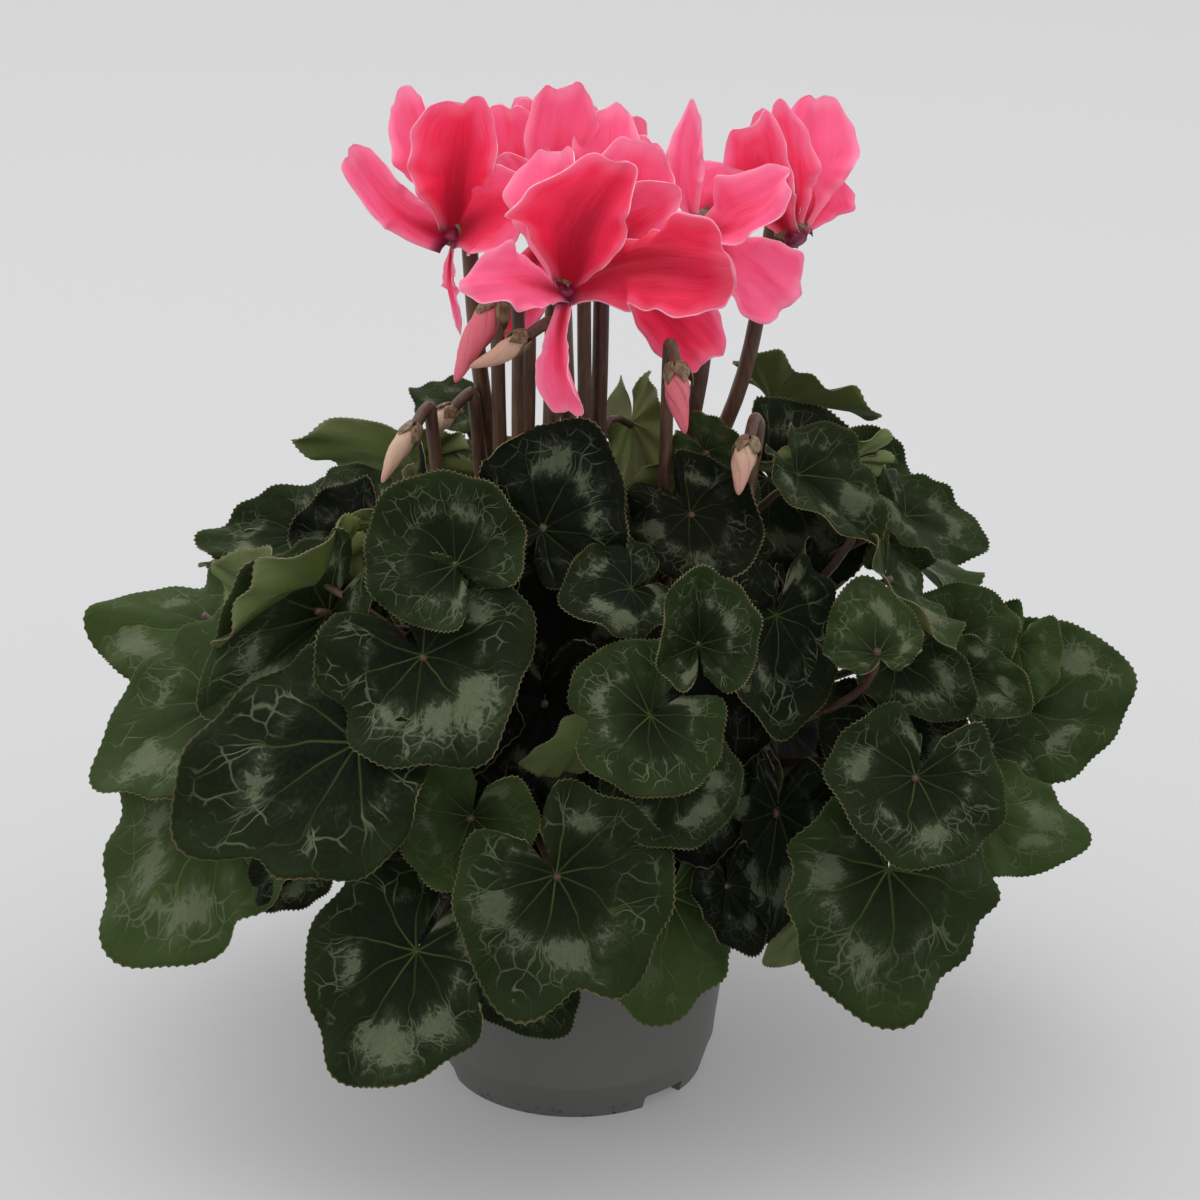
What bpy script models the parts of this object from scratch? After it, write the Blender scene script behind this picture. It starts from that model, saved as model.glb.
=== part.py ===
"""A flowering cyclamen in a round nursery pot, built piece by piece.

The pot, the potting soil and the tuber are turned on one axis. Every leaf, flower and bud is
one grown piece, with its own stalk that rises from the crown of the tuber. Lengths in the
tables are millimetres; +Z is up, the plant's front faces -Y, and the origin is the middle of
the pot's underside.
"""

import math

import bmesh
import bpy
import numpy as np
from mathutils import Vector

MM = 0.001

# Pot
POT_HEIGHT = 98.0
POT_RIM_RADIUS = 65.0
POT_BAND_HEIGHT = 9.0
POT_BAND_STEP = 2.0
POT_RIDGE_RADIUS = 52.5
POT_RIDGE_HEIGHT = 14.0
POT_FOOT_RADIUS = 48.0
POT_WALL = 1.6
CHANNEL_INNER_RADIUS = 30.0
CHANNEL_OUTER_RADIUS = 44.5
CHANNEL_HEIGHT = 8.0
NOTCH_COUNT = 3
NOTCH_WIDTH = 19.0
NOTCH_HEIGHT = 5.5
NOTCH_FIRST = 43.0
DRAIN_RADIUS = 3.5

# Soil and tuber
GAP = 0.4
SOIL_HEIGHT = 87.0
TUBER_RADIUS = 29.0
TUBER_HALF_HEIGHT = 15.0
TUBER_MIDDLE = 86.0

# Stalks leave the crown of the tuber on rings, the flowers inside and the leaves outside.
FLOWER_RINGS = (6.5, 11.8)
LEAF_RINGS = (17.0, 21.8)
LEAF_STALK = 1.6
FLOWER_STALK = 2.3
BUD_STALK = 1.6

# Leaf blade
BLADE_THICKNESS = 0.9
BLADE_SPREAD = math.radians(166)
BLADE_SECTORS = 12
BLADE_RINGS = 2

# Petals and flower heads
PETAL_THICKNESS = 0.9
TUBE_LENGTH = 9.0
TUBE_RADIUS = 4.6
CALYX_RADIUS = 4.2

LEAF_GREEN = (0.030, 0.075, 0.035, 1)
PETAL_PINK = (0.85, 0.07, 0.20, 1)
BUD_PINK = (0.80, 0.30, 0.28, 1)
POT_GREY = (0.105, 0.10, 0.10, 1)
SOIL_BROWN = (0.03, 0.02, 0.013, 1)
TUBER_BROWN = (0.12, 0.07, 0.04, 1)

# Each leaf: heart, where the stalk meets the blade; tip; the way the upper face looks, as
# azimuth and elevation in degrees (0 is the front, 90 is +X); width against length; how far
# the lobes reach against the tip; cup; and curls, each (direction in the blade from the tip,
# start, turn in degrees).
SAG = ((180, 0.0, -45),)
LEAVES = {
    # skirt, front and sides
    "leaf_01": ((-5, -123, 134), (12, -133, 85), (-3, 30), 1.05, 0.76, 0.10, ()),
    "leaf_02": ((-53, -113, 101), (-80, -124, 58), (-20, 20), 0.88, 0.74, 0.06, SAG),
    "leaf_03": ((30, -88, 110), (26, -103, 64), (30, 10), 0.80, 0.70, 0.08, ((180, 0.0, -25),)),
    "leaf_04": ((107, -81, 110), (113, -97, 60), (25, 20), 1.00, 0.66, 0.08, ((180, 0.0, -20),)),
    "leaf_05": ((-121, -58, 127), (-160, -72, 77), (-35, 20), 0.85, 0.70, 0.06, SAG),
    "leaf_06": ((71, -72, 134), (65, -88, 88), (-5, 12), 0.72, 0.62, 0.06, ()),
    "leaf_07": ((142, -50, 124), (185, -44, 108), (40, 25), 0.72, 0.66, 0.06, ()),
    # middle tier
    "leaf_08": ((-71, -101, 172), (-132, -110, 138), (-22, 30), 0.85, 0.64, 0.08, ()),
    "leaf_09": ((-50, -95, 202), (-27, -119, 175), (-8, 33), 1.12, 0.80, 0.12, ()),
    "leaf_10": ((-123, -46, 164), (-168, -44, 135), (-50, 30), 0.95, 0.70, 0.06, ()),
    "leaf_11": ((-134, 0, 181), (-176, 6, 162), (-60, 45), 0.80, 0.62, 0.05, ()),
    "leaf_12": ((-110, -30, 199), (-134, -16, 211), (-150, 35), 0.95, 0.78, 0.10, ()),
    "leaf_13": ((-104, 24, 211), (-141, 32, 205), (-30, 45), 0.88, 0.70, 0.10, ()),
    "leaf_14": ((-85, -62, 205), (-128, -72, 170), (-25, 35), 0.72, 0.66, 0.00, ()),
    "leaf_15": ((26, -117, 189), (2, -134, 172), (5, 33), 1.06, 0.80, 0.10, ()),
    "leaf_16": ((32, -104, 161), (41, -114, 140), (15, 25), 1.15, 0.85, 0.10, ()),
    "leaf_17": ((-34, -104, 147), (-45, -114, 124), (-10, 20), 1.08, 0.82, 0.15, ()),
    "leaf_18": ((118, -86, 154), (111, -104, 128), (20, 25), 1.22, 0.82, 0.08, ()),
    "leaf_19": ((160, -10, 148), (204, 0, 158), (40, 30), 0.90, 0.72, 0.05, ()),
    "leaf_20": ((150, -28, 141), (175, -22, 129), (40, 30), 0.85, 0.74, 0.06, ()),
    "leaf_21": ((133, -32, 183), (157, -26, 188), (30, 30), 0.85, 0.86, 0.12, ()),
    "leaf_22": ((99, -86, 199), (92, -68, 219), (0, 35), 1.15, 0.66, 0.12, ()),
    "leaf_23": ((111, -42, 211), (128, -66, 190), (70, 35), 0.55, 0.72, 0.20, ()),
    "leaf_24": ((70, -56, 201), (71, -80, 166), (30, 30), 0.80, 0.70, 0.05, ()),
    "leaf_34": ((106, -40, 145), (96, -28, 166), (0, 35), 0.92, 0.76, 0.05, ()),
    # crown tier
    "leaf_25": ((-46, -66, 230), (-63, -50, 250), (-12, 32), 1.00, 0.82, 0.25, ()),
    "leaf_26": ((-15, -74, 236), (6, -62, 266), (0, 25), 0.92, 0.64, 0.12, ()),
    "leaf_27": ((25, -86, 215), (2, -101, 213), (0, 40), 0.95, 0.74, 0.10, ()),
    "leaf_28": ((42, -110, 211), (42, -100, 235), (10, 20), 0.88, 0.76, 0.25, ()),
    "leaf_29": ((77, -32, 243), (103, -44, 221), (40, 50), 0.90, 0.58, 0.10, ()),
    "leaf_30": ((98, 2, 229), (117, 14, 242), (30, 35), 0.95, 0.74, 0.08, ()),
    "leaf_31": ((74, 46, 249), (110, 34, 240), (180, 60), 0.95, 0.62, 0.10, ()),
    "leaf_32": ((-58, 38, 230), (-104, 42, 230), (-170, 55), 0.85, 0.66, 0.10, ()),
    "leaf_33": ((117, -16, 223), (143, -14, 207), (40, 45), 0.80, 0.70, 0.10, ()),
    # sides and back
    "leaf_35": ((144, 44, 118), (182, 54, 86), (102, 35), 0.85, 0.72, 0.06, ()),
    "leaf_36": ((98, 98, 134), (130, 126, 100), (132, 35), 0.85, 0.70, 0.06, ()),
    "leaf_37": ((44, 130, 132), (54, 166, 94), (163, 35), 0.92, 0.72, 0.06, ()),
    "leaf_38": ((-20, 130, 122), (-26, 164, 82), (190, 35), 0.95, 0.72, 0.06, ()),
    "leaf_39": ((-78, 110, 134), (-102, 142, 98), (214, 35), 1.00, 0.72, 0.06, ()),
    "leaf_40": ((-130, 58, 122), (-166, 76, 86), (245, 35), 1.00, 0.74, 0.06, ()),
    "leaf_41": ((112, 52, 188), (148, 74, 166), (118, 45), 1.05, 0.76, 0.08, ()),
    "leaf_42": ((56, 96, 200), (76, 134, 176), (152, 45), 1.10, 0.78, 0.10, ()),
    "leaf_43": ((-30, 98, 204), (-42, 138, 182), (196, 45), 1.10, 0.78, 0.10, ()),
    "leaf_44": ((-104, 58, 190), (-136, 84, 168), (235, 45), 1.00, 0.76, 0.08, ()),
}

# Each flower: mouth of the corolla; the way the mouth looks, as azimuth and elevation; and its
# petals, each (tip, the way the inner face looks, width, curl).
FLOWERS = {
    "flower_1": (
        (-40, -25, 325),
        (-20, -50),
        (
            ((-70, -30, 357), (-30, 20), 18, 0.1),
            ((-55, -20, 375), (-10, 10), 20, 0.1),
            ((-36, -38, 377), (15, 15), 24, 0.1),
            ((-13, -45, 345), (20, 25), 30, 0.1),
            ((-38, -32, 291), (-60, 0), 9, 0.1),
        ),
    ),
    "flower_2": (
        (0, -62, 315),
        (10, -40),
        (
            ((-36, -82, 321), (-10, 35), 24, 0.1),
            ((-7, -48, 363), (-20, 10), 22, 0.1),
            ((12, -74, 362), (-8, 15), 36, 0.1),
            ((49, -95, 331), (5, 35), 34, 0.1),
            ((-3, -74, 279), (-40, 0), 15, 0.1),
        ),
    ),
    "flower_3": (
        (-9, -8, 322),
        (-10, -55),
        (
            ((-28, -20, 354), (-10, 30), 18, 0.1),
            ((-24, -5, 368), (-20, 15), 20, 0.1),
            ((-4, -14, 378), (5, 15), 18, 0.1),
            ((-12, -29, 364), (-5, 20), 16, 0.1),
            ((-23, -15, 288), (-20, 0), 22, 0.1),
        ),
    ),
    "flower_4": (
        (41, -38, 330),
        (-30, -40),
        (
            ((73, -56, 350), (0, 40), 18, 0.1),
            ((42, -30, 374), (-10, 10), 15, 0.1),
            ((60, -17, 343), (10, 30), 22, 0.1),
            ((74, -44, 306), (15, 20), 26, 0.1),
            ((46, -14, 304), (20, 10), 16, 0.1),
        ),
    ),
    "flower_5": (
        (76, 2, 318),
        (30, -45),
        (
            ((60, -16, 364), (-10, 15), 24, 0.1),
            ((70, -5, 367), (10, 10), 16, 0.1),
            ((86, 16, 366), (10, 15), 24, 0.1),
            ((87, 6, 344), (40, 10), 18, 0.1),
            ((66, 30, 358), (160, 10), 20, 0.1),
        ),
    ),
    "flower_6": (
        (17, -24, 318),
        (10, -45),
        (
            ((12, -8, 368), (-10, 10), 20, 0.1),
            ((26, -40, 364), (0, 20), 28, 0.1),
            ((37, -56, 347), (5, 30), 22, 0.1),
            ((44, -30, 284), (10, 10), 23, 0.1),
            ((25, 14, 350), (160, 10), 24, 0.1),
        ),
    ),
    "flower_7": (
        (-4, 44, 312),
        (180, -50),
        (
            ((-18, 32, 363), (0, 10), 20, 0.1),
            ((22, 37, 355), (20, 10), 20, 0.1),
            ((4, 62, 366), (180, 10), 24, 0.1),
            ((26, 76, 338), (150, 20), 26, 0.1),
            ((-30, 72, 336), (210, 20), 26, 0.1),
        ),
    ),
}

# Each bud: the top of its calyx, the way it points, its length and its width.
BUDS = {
    "bud_1": ((-24, -42, 309), (-40, -45), 33, 10.0),
    "bud_2": ((-15, -54, 300), (-72, -24), 22, 7.0),
    "bud_3": ((-54, -36, 263), (-38, -42), 24, 7.0),
    "bud_4": ((-42, -16, 263), (-60, -35), 12, 7.0),
    "bud_5": ((35, -50, 289), (15, -60), 24, 8.5),
    "bud_6": ((60, -54, 264), (-20, -55), 20, 8.0),
}


def blade_reach(angle, lobe):
    """How far the margin is from the heart, as a share of the length, at an angle from the tip."""
    point = math.exp(-((angle / math.radians(28)) ** 2))
    reach = lobe + (1 - lobe) * (0.4 * math.cos(angle) + 0.6 * point)
    closing = min(max((abs(angle) - math.radians(146)) / math.radians(20), 0), 1)
    return reach * (1 - 0.45 * closing * closing * (3 - 2 * closing))


def look_direction(azimuth, elevation):
    azimuth, elevation = math.radians(azimuth), math.radians(elevation)
    flat = math.cos(elevation)
    return Vector((flat * math.sin(azimuth), -flat * math.cos(azimuth), math.sin(elevation)))


def sheet_frame(foot, tip, facing):
    """A sheet's own axes: along its midline, across it, and out of its upper face."""
    along = (Vector(tip) - Vector(foot)).normalized()
    wish = look_direction(*facing)
    out = (wish - along * wish.dot(along)).normalized()
    return along, out.cross(along), out


def placed(points, foot, frame):
    """Points of a flat sheet, in millimetres, moved to where the sheet grows, in metres."""
    axes = np.array([list(axis) for axis in frame])
    return (points @ axes + np.array(foot)) * MM


def rolled(points, direction, start, turn):
    """Rolls what lies beyond a line across a flat sheet, by this turn in all, towards +Z."""
    heading = np.array([math.cos(direction), math.sin(direction)])
    beyond = points[:, :2] @ heading - start
    bend = turn / max(float(beyond.max()), 1e-6)
    beyond = np.where(beyond > 0, beyond, 0)
    angle = bend * beyond
    height = points[:, 2]
    result = points.copy()
    shift = np.sin(angle) / bend - height * np.sin(angle) - beyond
    result[:, :2] += shift[:, None] * heading
    result[:, 2] = (1 - np.cos(angle)) / bend + height * np.cos(angle)
    return result


def bezier(start, start_handle, end_handle, end, count):
    points = []
    for step in range(count):
        t = step / (count - 1)
        s = 1 - t
        points.append(
            start * s**3 + start_handle * 3 * s * s * t + end_handle * 3 * s * t * t + end * t**3
        )
    return points


def material(name, colour, roughness):
    made = bpy.data.materials.new(name)
    made.use_nodes = True
    shader = made.node_tree.nodes["Principled BSDF"]
    shader.inputs["Base Color"].default_value = colour
    shader.inputs["Roughness"].default_value = roughness
    return made


def collection(name):
    made = bpy.data.collections.new(name)
    bpy.context.scene.collection.children.link(made)
    return made


def mesh_object(name, bm, group, finish=None):
    mesh = bpy.data.meshes.new(name)
    bm.to_mesh(mesh)
    bm.free()
    mesh.shade_smooth()
    mesh.set_sharp_from_angle(angle=math.radians(45))
    made = bpy.data.objects.new(name, mesh)
    group.objects.link(made)
    if finish:
        mesh.materials.append(finish)
    return made


def hide(helper):
    helper.hide_render = True
    helper.display_type = "WIRE"


def turned(name, profile, steps, group, finish):
    """A profile of (radius, height), from the axis up the inside and down the outside."""
    bm = bmesh.new()
    corners = [bm.verts.new((radius * MM, 0, height * MM)) for radius, height in profile]
    for first, second in zip(corners, corners[1:]):
        bm.edges.new((first, second))
    made = mesh_object(name, bm, group, finish)
    screw = made.modifiers.new("Turn", "SCREW")
    screw.steps = steps
    screw.render_steps = steps
    screw.use_merge_vertices = True
    screw.merge_threshold = 0.0001
    return made


def tube(name, points, radii, group, finish=None):
    """A stalk along these points, in millimetres, as a welded mesh of changing thickness."""
    curve = bpy.data.curves.new(name, "CURVE")
    curve.dimensions = "3D"
    curve.bevel_depth = MM
    curve.bevel_resolution = 1
    curve.use_fill_caps = True
    line = curve.splines.new("POLY")
    line.points.add(len(points) - 1)
    for slot, point, radius in zip(line.points, points, radii):
        slot.co = (*(point * MM), 1)
        slot.radius = radius
    drawn = bpy.data.objects.new(name + "_line", curve)
    group.objects.link(drawn)
    graph = bpy.context.evaluated_depsgraph_get()
    mesh = bpy.data.meshes.new_from_object(drawn.evaluated_get(graph))
    bm = bmesh.new()
    bm.from_mesh(mesh)
    bmesh.ops.remove_doubles(bm, verts=bm.verts, dist=1e-6)
    bpy.data.objects.remove(drawn)
    return mesh_object(name, bm, group, finish)


def sheet(name, sectors, rings, shape, thickness, group, finish=None):
    """A grid whose (across, along) points, each from 0 to 1, are bent by shape, then thickened."""
    bm = bmesh.new()
    bmesh.ops.create_grid(bm, x_segments=sectors, y_segments=rings, size=0.5)
    flat = np.array([vert.co for vert in bm.verts])[:, :2] + 0.5
    for vert, point in zip(bm.verts, shape(flat)):
        vert.co = point
    bmesh.ops.remove_doubles(bm, verts=bm.verts, dist=1e-6)
    bmesh.ops.recalc_face_normals(bm, faces=bm.faces)
    made = mesh_object(name, bm, group, finish)
    wall = made.modifiers.new("Thickness", "SOLIDIFY")
    wall.thickness = thickness * MM
    wall.offset = 0
    return made


def join(body, piece):
    union = body.modifiers.new("Join", "BOOLEAN")
    union.operation = "UNION"
    union.object = piece


def crown_point(radius, azimuth):
    """Where a stalk starts on the tuber, just clear of it, and the way it sets off."""
    rise = TUBER_HALF_HEIGHT * math.sqrt(1 - (radius / TUBER_RADIUS) ** 2)
    side = Vector((math.sin(azimuth), -math.cos(azimuth), 0))
    normal = side * (radius / TUBER_RADIUS**2) + Vector((0, 0, rise / TUBER_HALF_HEIGHT**2))
    normal.normalize()
    return side * radius + Vector((0, 0, TUBER_MIDDLE + rise)) + normal * GAP, normal


def crown_slots(heads, rings):
    """Shares the stalks out over the crown's rings: the lower heads take the outer one."""
    by_height = sorted(heads, key=lambda name: -heads[name].z)
    share = [radius / sum(rings) for radius in rings]
    split = round(len(by_height) * share[0])
    slots = {}
    for radius, members in zip(rings, (by_height[:split], by_height[split:])):
        bearing = {name: math.atan2(heads[name].x, -heads[name].y) for name in members}
        order = sorted(members, key=bearing.get)
        spacing = 2 * math.pi / len(order)
        drift = sum(bearing[name] - i * spacing for i, name in enumerate(order)) / len(order)
        for i, name in enumerate(order):
            slots[name] = crown_point(radius, drift + i * spacing)
    return slots


def leaf_blade_shape(heart, tip, facing, width, lobe, cup, curls):
    length = (Vector(tip) - Vector(heart)).length

    def shape(flat):
        angles = (flat[:, 0] * 2 - 1) * BLADE_SPREAD
        reach = length * flat[:, 1] * np.array([blade_reach(angle, lobe) for angle in angles])
        points = np.zeros((len(flat), 3))
        points[:, 0] = reach * np.cos(angles)
        points[:, 1] = reach * np.sin(angles) * width
        points[:, 2] = cup * reach**2 / length
        for direction, start, turn in curls:
            points = rolled(points, math.radians(direction), start * length, math.radians(turn))
        return placed(points, heart, sheet_frame(heart, tip, facing))

    return shape


def leaf(name, slot, group, helpers, finish):
    heart, tip, facing, *form = LEAVES[name]
    along, _, out = sheet_frame(heart, tip, facing)
    shape = leaf_blade_shape(heart, tip, facing, *form)
    blade = sheet(name, BLADE_SECTORS, BLADE_RINGS, shape, BLADE_THICKNESS, group, finish)
    start, heading = slot
    arrival = (out * 0.8 + along * 0.25).normalized()
    end = Vector(heart) + along * 1.2 * LEAF_STALK
    reach = (end - start).length
    path = bezier(start, start + heading * reach * 0.4, end - arrival * reach * 0.35, end, 6)
    stalk = tube(name + "_stalk", path, [LEAF_STALK] * 6, helpers)
    hide(stalk)
    join(blade, stalk)


def petal_shape(foot, tip, facing, width, curl):
    length = (Vector(tip) - Vector(foot)).length
    widest = 0.62

    def half_width(t):
        if t > widest:
            return math.sqrt(max(1 - ((t - widest) / 0.40) ** 2, 0))
        ease = t / widest
        return 0.2 + 0.8 * ease * ease * (3 - 2 * ease)

    def shape(flat):
        points = np.zeros((len(flat), 3))
        points[:, 0] = flat[:, 1] * length
        side = (flat[:, 0] * 2 - 1) * width / 2
        points[:, 1] = side * np.array([half_width(t) for t in flat[:, 1]])
        points[:, 2] = curl * points[:, 1] ** 2 / width + curl * length * np.sin(
            math.pi * flat[:, 1]
        )
        return placed(points, foot, sheet_frame(foot, tip, facing))

    return shape


def hooked_path(slot, neck, heading):
    """A flower stalk: up from the crown, over a crook, and into the neck along its heading."""
    start, rise = slot
    back = Vector((-heading.x, -heading.y, 0))
    back = back.normalized() if back.length > 0.05 else Vector((0, 1, 0))
    shoulder = neck + back * 9 - Vector((0, 0, 3))
    reach = (shoulder - start).length
    climb = bezier(
        start, start + rise * reach * 0.35, shoulder - Vector((0, 0, reach * 0.35)), shoulder, 5
    )
    crook = bezier(shoulder, shoulder + Vector((0, 0, 12)), neck - heading * 8, neck, 4)
    return climb + crook[1:]


def flower(name, slot, group, helpers, finish):
    mouth, facing, petals = FLOWERS[name]
    heading = look_direction(*facing)
    neck = Vector(mouth) - heading * TUBE_LENGTH
    path = hooked_path(slot, neck, heading) + [neck + heading * 3, Vector(mouth)]
    radii = [FLOWER_STALK] * (len(path) - 3) + [FLOWER_STALK * 1.2, CALYX_RADIUS, TUBE_RADIUS]
    head = tube(name, path, radii, group, finish)
    for number, (tip, look, width, curl) in enumerate(petals, 1):
        aim = (Vector(tip) - Vector(mouth)).normalized()
        foot = Vector(mouth) - heading * 1.5 + aim * 0.5
        shape = petal_shape(foot, tip, look, width, curl)
        petal = sheet(f"{name}_petal_{number}", 2, 3, shape, PETAL_THICKNESS, helpers)
        hide(petal)
        join(head, petal)


def bud(name, slot, group, finish):
    neck, facing, length, width = BUDS[name]
    heading = look_direction(*facing)
    path = hooked_path(slot, Vector(neck), heading)
    radii = [BUD_STALK] * (len(path) - 1) + [width * 0.42]
    for share, size in ((0.25, 0.5), (0.55, 0.42), (0.85, 0.2), (1.0, 0.08)):
        path.append(Vector(neck) + heading * length * share)
        radii.append(width * size)
    tube(name, path, radii, group, finish)


def pot(group, helpers, finish):
    inner_ridge = POT_RIDGE_RADIUS - POT_WALL
    inner_top = POT_RIM_RADIUS - POT_BAND_STEP - POT_WALL
    channel_top = CHANNEL_HEIGHT + POT_WALL
    profile = [
        (0, POT_WALL),
        (CHANNEL_INNER_RADIUS - POT_WALL, POT_WALL),
        (CHANNEL_INNER_RADIUS, channel_top),
        (POT_FOOT_RADIUS, channel_top),
        (inner_ridge, POT_RIDGE_HEIGHT),
        (inner_top, POT_HEIGHT),
        (POT_RIM_RADIUS - 0.6, POT_HEIGHT),
        (POT_RIM_RADIUS, POT_HEIGHT - 0.8),
        (POT_RIM_RADIUS - 0.6, POT_HEIGHT - POT_BAND_HEIGHT),
        (POT_RIM_RADIUS - POT_BAND_STEP - 0.6, POT_HEIGHT - POT_BAND_HEIGHT),
        (POT_RIDGE_RADIUS, POT_RIDGE_HEIGHT),
        (POT_FOOT_RADIUS, 0),
        (CHANNEL_OUTER_RADIUS, 0),
        (CHANNEL_OUTER_RADIUS, CHANNEL_HEIGHT),
        (CHANNEL_INNER_RADIUS + POT_WALL, CHANNEL_HEIGHT),
        (CHANNEL_INNER_RADIUS, 0),
        (0, 0),
    ]
    made = turned("pot", profile, 36, group, finish)
    middle = (CHANNEL_INNER_RADIUS + CHANNEL_OUTER_RADIUS) / 2
    for number in range(NOTCH_COUNT):
        azimuth = math.radians(NOTCH_FIRST + number * 360 / NOTCH_COUNT)
        bm = bmesh.new()
        bmesh.ops.create_cube(bm, size=MM)
        bmesh.ops.scale(bm, vec=(NOTCH_WIDTH, 12, 2 * NOTCH_HEIGHT), verts=bm.verts)
        notch = mesh_object(f"notch_{number}", bm, helpers)
        bm = bmesh.new()
        bmesh.ops.create_cone(
            bm,
            cap_ends=True,
            segments=12,
            radius1=DRAIN_RADIUS * MM,
            radius2=DRAIN_RADIUS * MM,
            depth=8 * MM,
        )
        drain = mesh_object(f"drain_{number}", bm, helpers)
        for cutter, radius, height in (
            (notch, CHANNEL_OUTER_RADIUS + 5, 0),
            (drain, middle, channel_top),
        ):
            cutter.rotation_euler.z = azimuth
            cutter.location = (
                radius * math.sin(azimuth) * MM,
                -radius * math.cos(azimuth) * MM,
                height * MM,
            )
            hide(cutter)
            cut = made.modifiers.new("Cut", "BOOLEAN")
            cut.operation = "DIFFERENCE"
            cut.object = cutter


def soil(group, finish):
    """The root ball: it fills the pot to just under the rim, with a hollow for the tuber."""
    floor = CHANNEL_HEIGHT + POT_WALL + GAP
    slope = (POT_RIM_RADIUS - POT_BAND_STEP - POT_RIDGE_RADIUS) / (POT_HEIGHT - POT_RIDGE_HEIGHT)
    ridge = POT_RIDGE_RADIUS - POT_WALL - GAP
    top = ridge + slope * (SOIL_HEIGHT - POT_RIDGE_HEIGHT)
    hollow = []
    start = math.asin((SOIL_HEIGHT - TUBER_MIDDLE) / TUBER_HALF_HEIGHT)
    for step in range(7):
        angle = start + (-math.pi / 2 - start) * (1 - step / 6)
        radius = (TUBER_RADIUS + GAP) * math.cos(angle) if step else 0
        hollow.append((radius, TUBER_MIDDLE + (TUBER_HALF_HEIGHT + GAP) * math.sin(angle)))
    profile = hollow + [
        (38, SOIL_HEIGHT + 1.5),
        (50, SOIL_HEIGHT),
        (top, SOIL_HEIGHT - 1),
        (ridge, POT_RIDGE_HEIGHT + 0.5),
        (POT_FOOT_RADIUS - GAP, floor),
        (CHANNEL_INNER_RADIUS - GAP, floor),
        (CHANNEL_INNER_RADIUS - POT_WALL - 2 * GAP, POT_WALL + GAP),
        (0, POT_WALL + GAP),
    ]
    turned("potting_soil", profile, 24, group, finish)


def tuber(group, finish):
    steps = 8
    profile = []
    for step in range(steps + 1):
        angle = -math.pi / 2 + math.pi * step / steps
        radius = TUBER_RADIUS * math.cos(angle) if 0 < step < steps else 0
        profile.append((radius, TUBER_MIDDLE + TUBER_HALF_HEIGHT * math.sin(angle)))
    turned("tuber", profile[::-1], 24, group, finish)


def main():
    for old in list(bpy.data.objects):
        bpy.data.objects.remove(old)
    plant = collection("potted_cyclamen")
    helpers = collection("helpers")
    pot(plant, helpers, material("pot plastic", POT_GREY, 0.45))
    soil(plant, material("potting soil", SOIL_BROWN, 0.95))
    tuber(plant, material("tuber skin", TUBER_BROWN, 0.8))

    leaf_green = material("leaf green", LEAF_GREEN, 0.45)
    hearts = {name: Vector(row[0]) for name, row in LEAVES.items()}
    for name, slot in crown_slots(hearts, LEAF_RINGS).items():
        leaf(name, slot, plant, helpers, leaf_green)

    petal_pink = material("petal pink", PETAL_PINK, 0.5)
    bud_pink = material("bud pink", BUD_PINK, 0.5)
    heads = {name: Vector(row[0]) for name, row in {**FLOWERS, **BUDS}.items()}
    for name, slot in crown_slots(heads, FLOWER_RINGS).items():
        if name in FLOWERS:
            flower(name, slot, plant, helpers, petal_pink)
        else:
            bud(name, slot, plant, bud_pink)


main()
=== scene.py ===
import math

import bpy
import numpy as np
from mathutils import Matrix, Vector


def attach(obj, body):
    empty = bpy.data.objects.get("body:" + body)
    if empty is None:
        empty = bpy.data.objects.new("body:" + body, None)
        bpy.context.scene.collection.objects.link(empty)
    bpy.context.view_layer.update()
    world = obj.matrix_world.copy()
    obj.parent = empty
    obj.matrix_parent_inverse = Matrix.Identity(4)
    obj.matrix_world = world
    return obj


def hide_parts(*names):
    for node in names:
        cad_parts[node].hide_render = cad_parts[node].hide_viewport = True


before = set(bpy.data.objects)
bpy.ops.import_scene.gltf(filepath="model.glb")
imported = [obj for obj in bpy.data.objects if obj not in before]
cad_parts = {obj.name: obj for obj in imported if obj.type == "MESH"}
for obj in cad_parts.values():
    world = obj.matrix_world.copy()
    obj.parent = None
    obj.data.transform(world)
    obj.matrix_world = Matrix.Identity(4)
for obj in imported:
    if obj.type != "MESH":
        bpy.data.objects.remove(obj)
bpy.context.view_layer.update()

mm = 0.001
bpy.ops.object.select_all(action="DESELECT")

# camera, floor and light
view = dict(place=(0.0095, -1.1, 0.597), pitch=69.5, lens=97.23)
floorLook = dict(size=30.0, colour=(0.364, 0.364, 0.367, 1), roughness=0.85, glow=0.147)
skyLook = dict(colour=(0.985, 0.987, 1.0, 1), front=0.95, top=0.42, back=0.12)
lamps = (
    dict(name="topSoftbox", place=(-0.45, 0.50, 2.5), aim=(0, 0, 0.15), size=2.2, power=15.5),
    dict(name="leftSoftbox", place=(-1.7, 0.3, 0.9), aim=(0, 0, 0.2), size=1.2, power=2.0),
    dict(name="rightSoftbox", place=(1.7, 0.4, 0.9), aim=(0, 0, 0.2), size=1.2, power=2.0),
)


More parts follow.
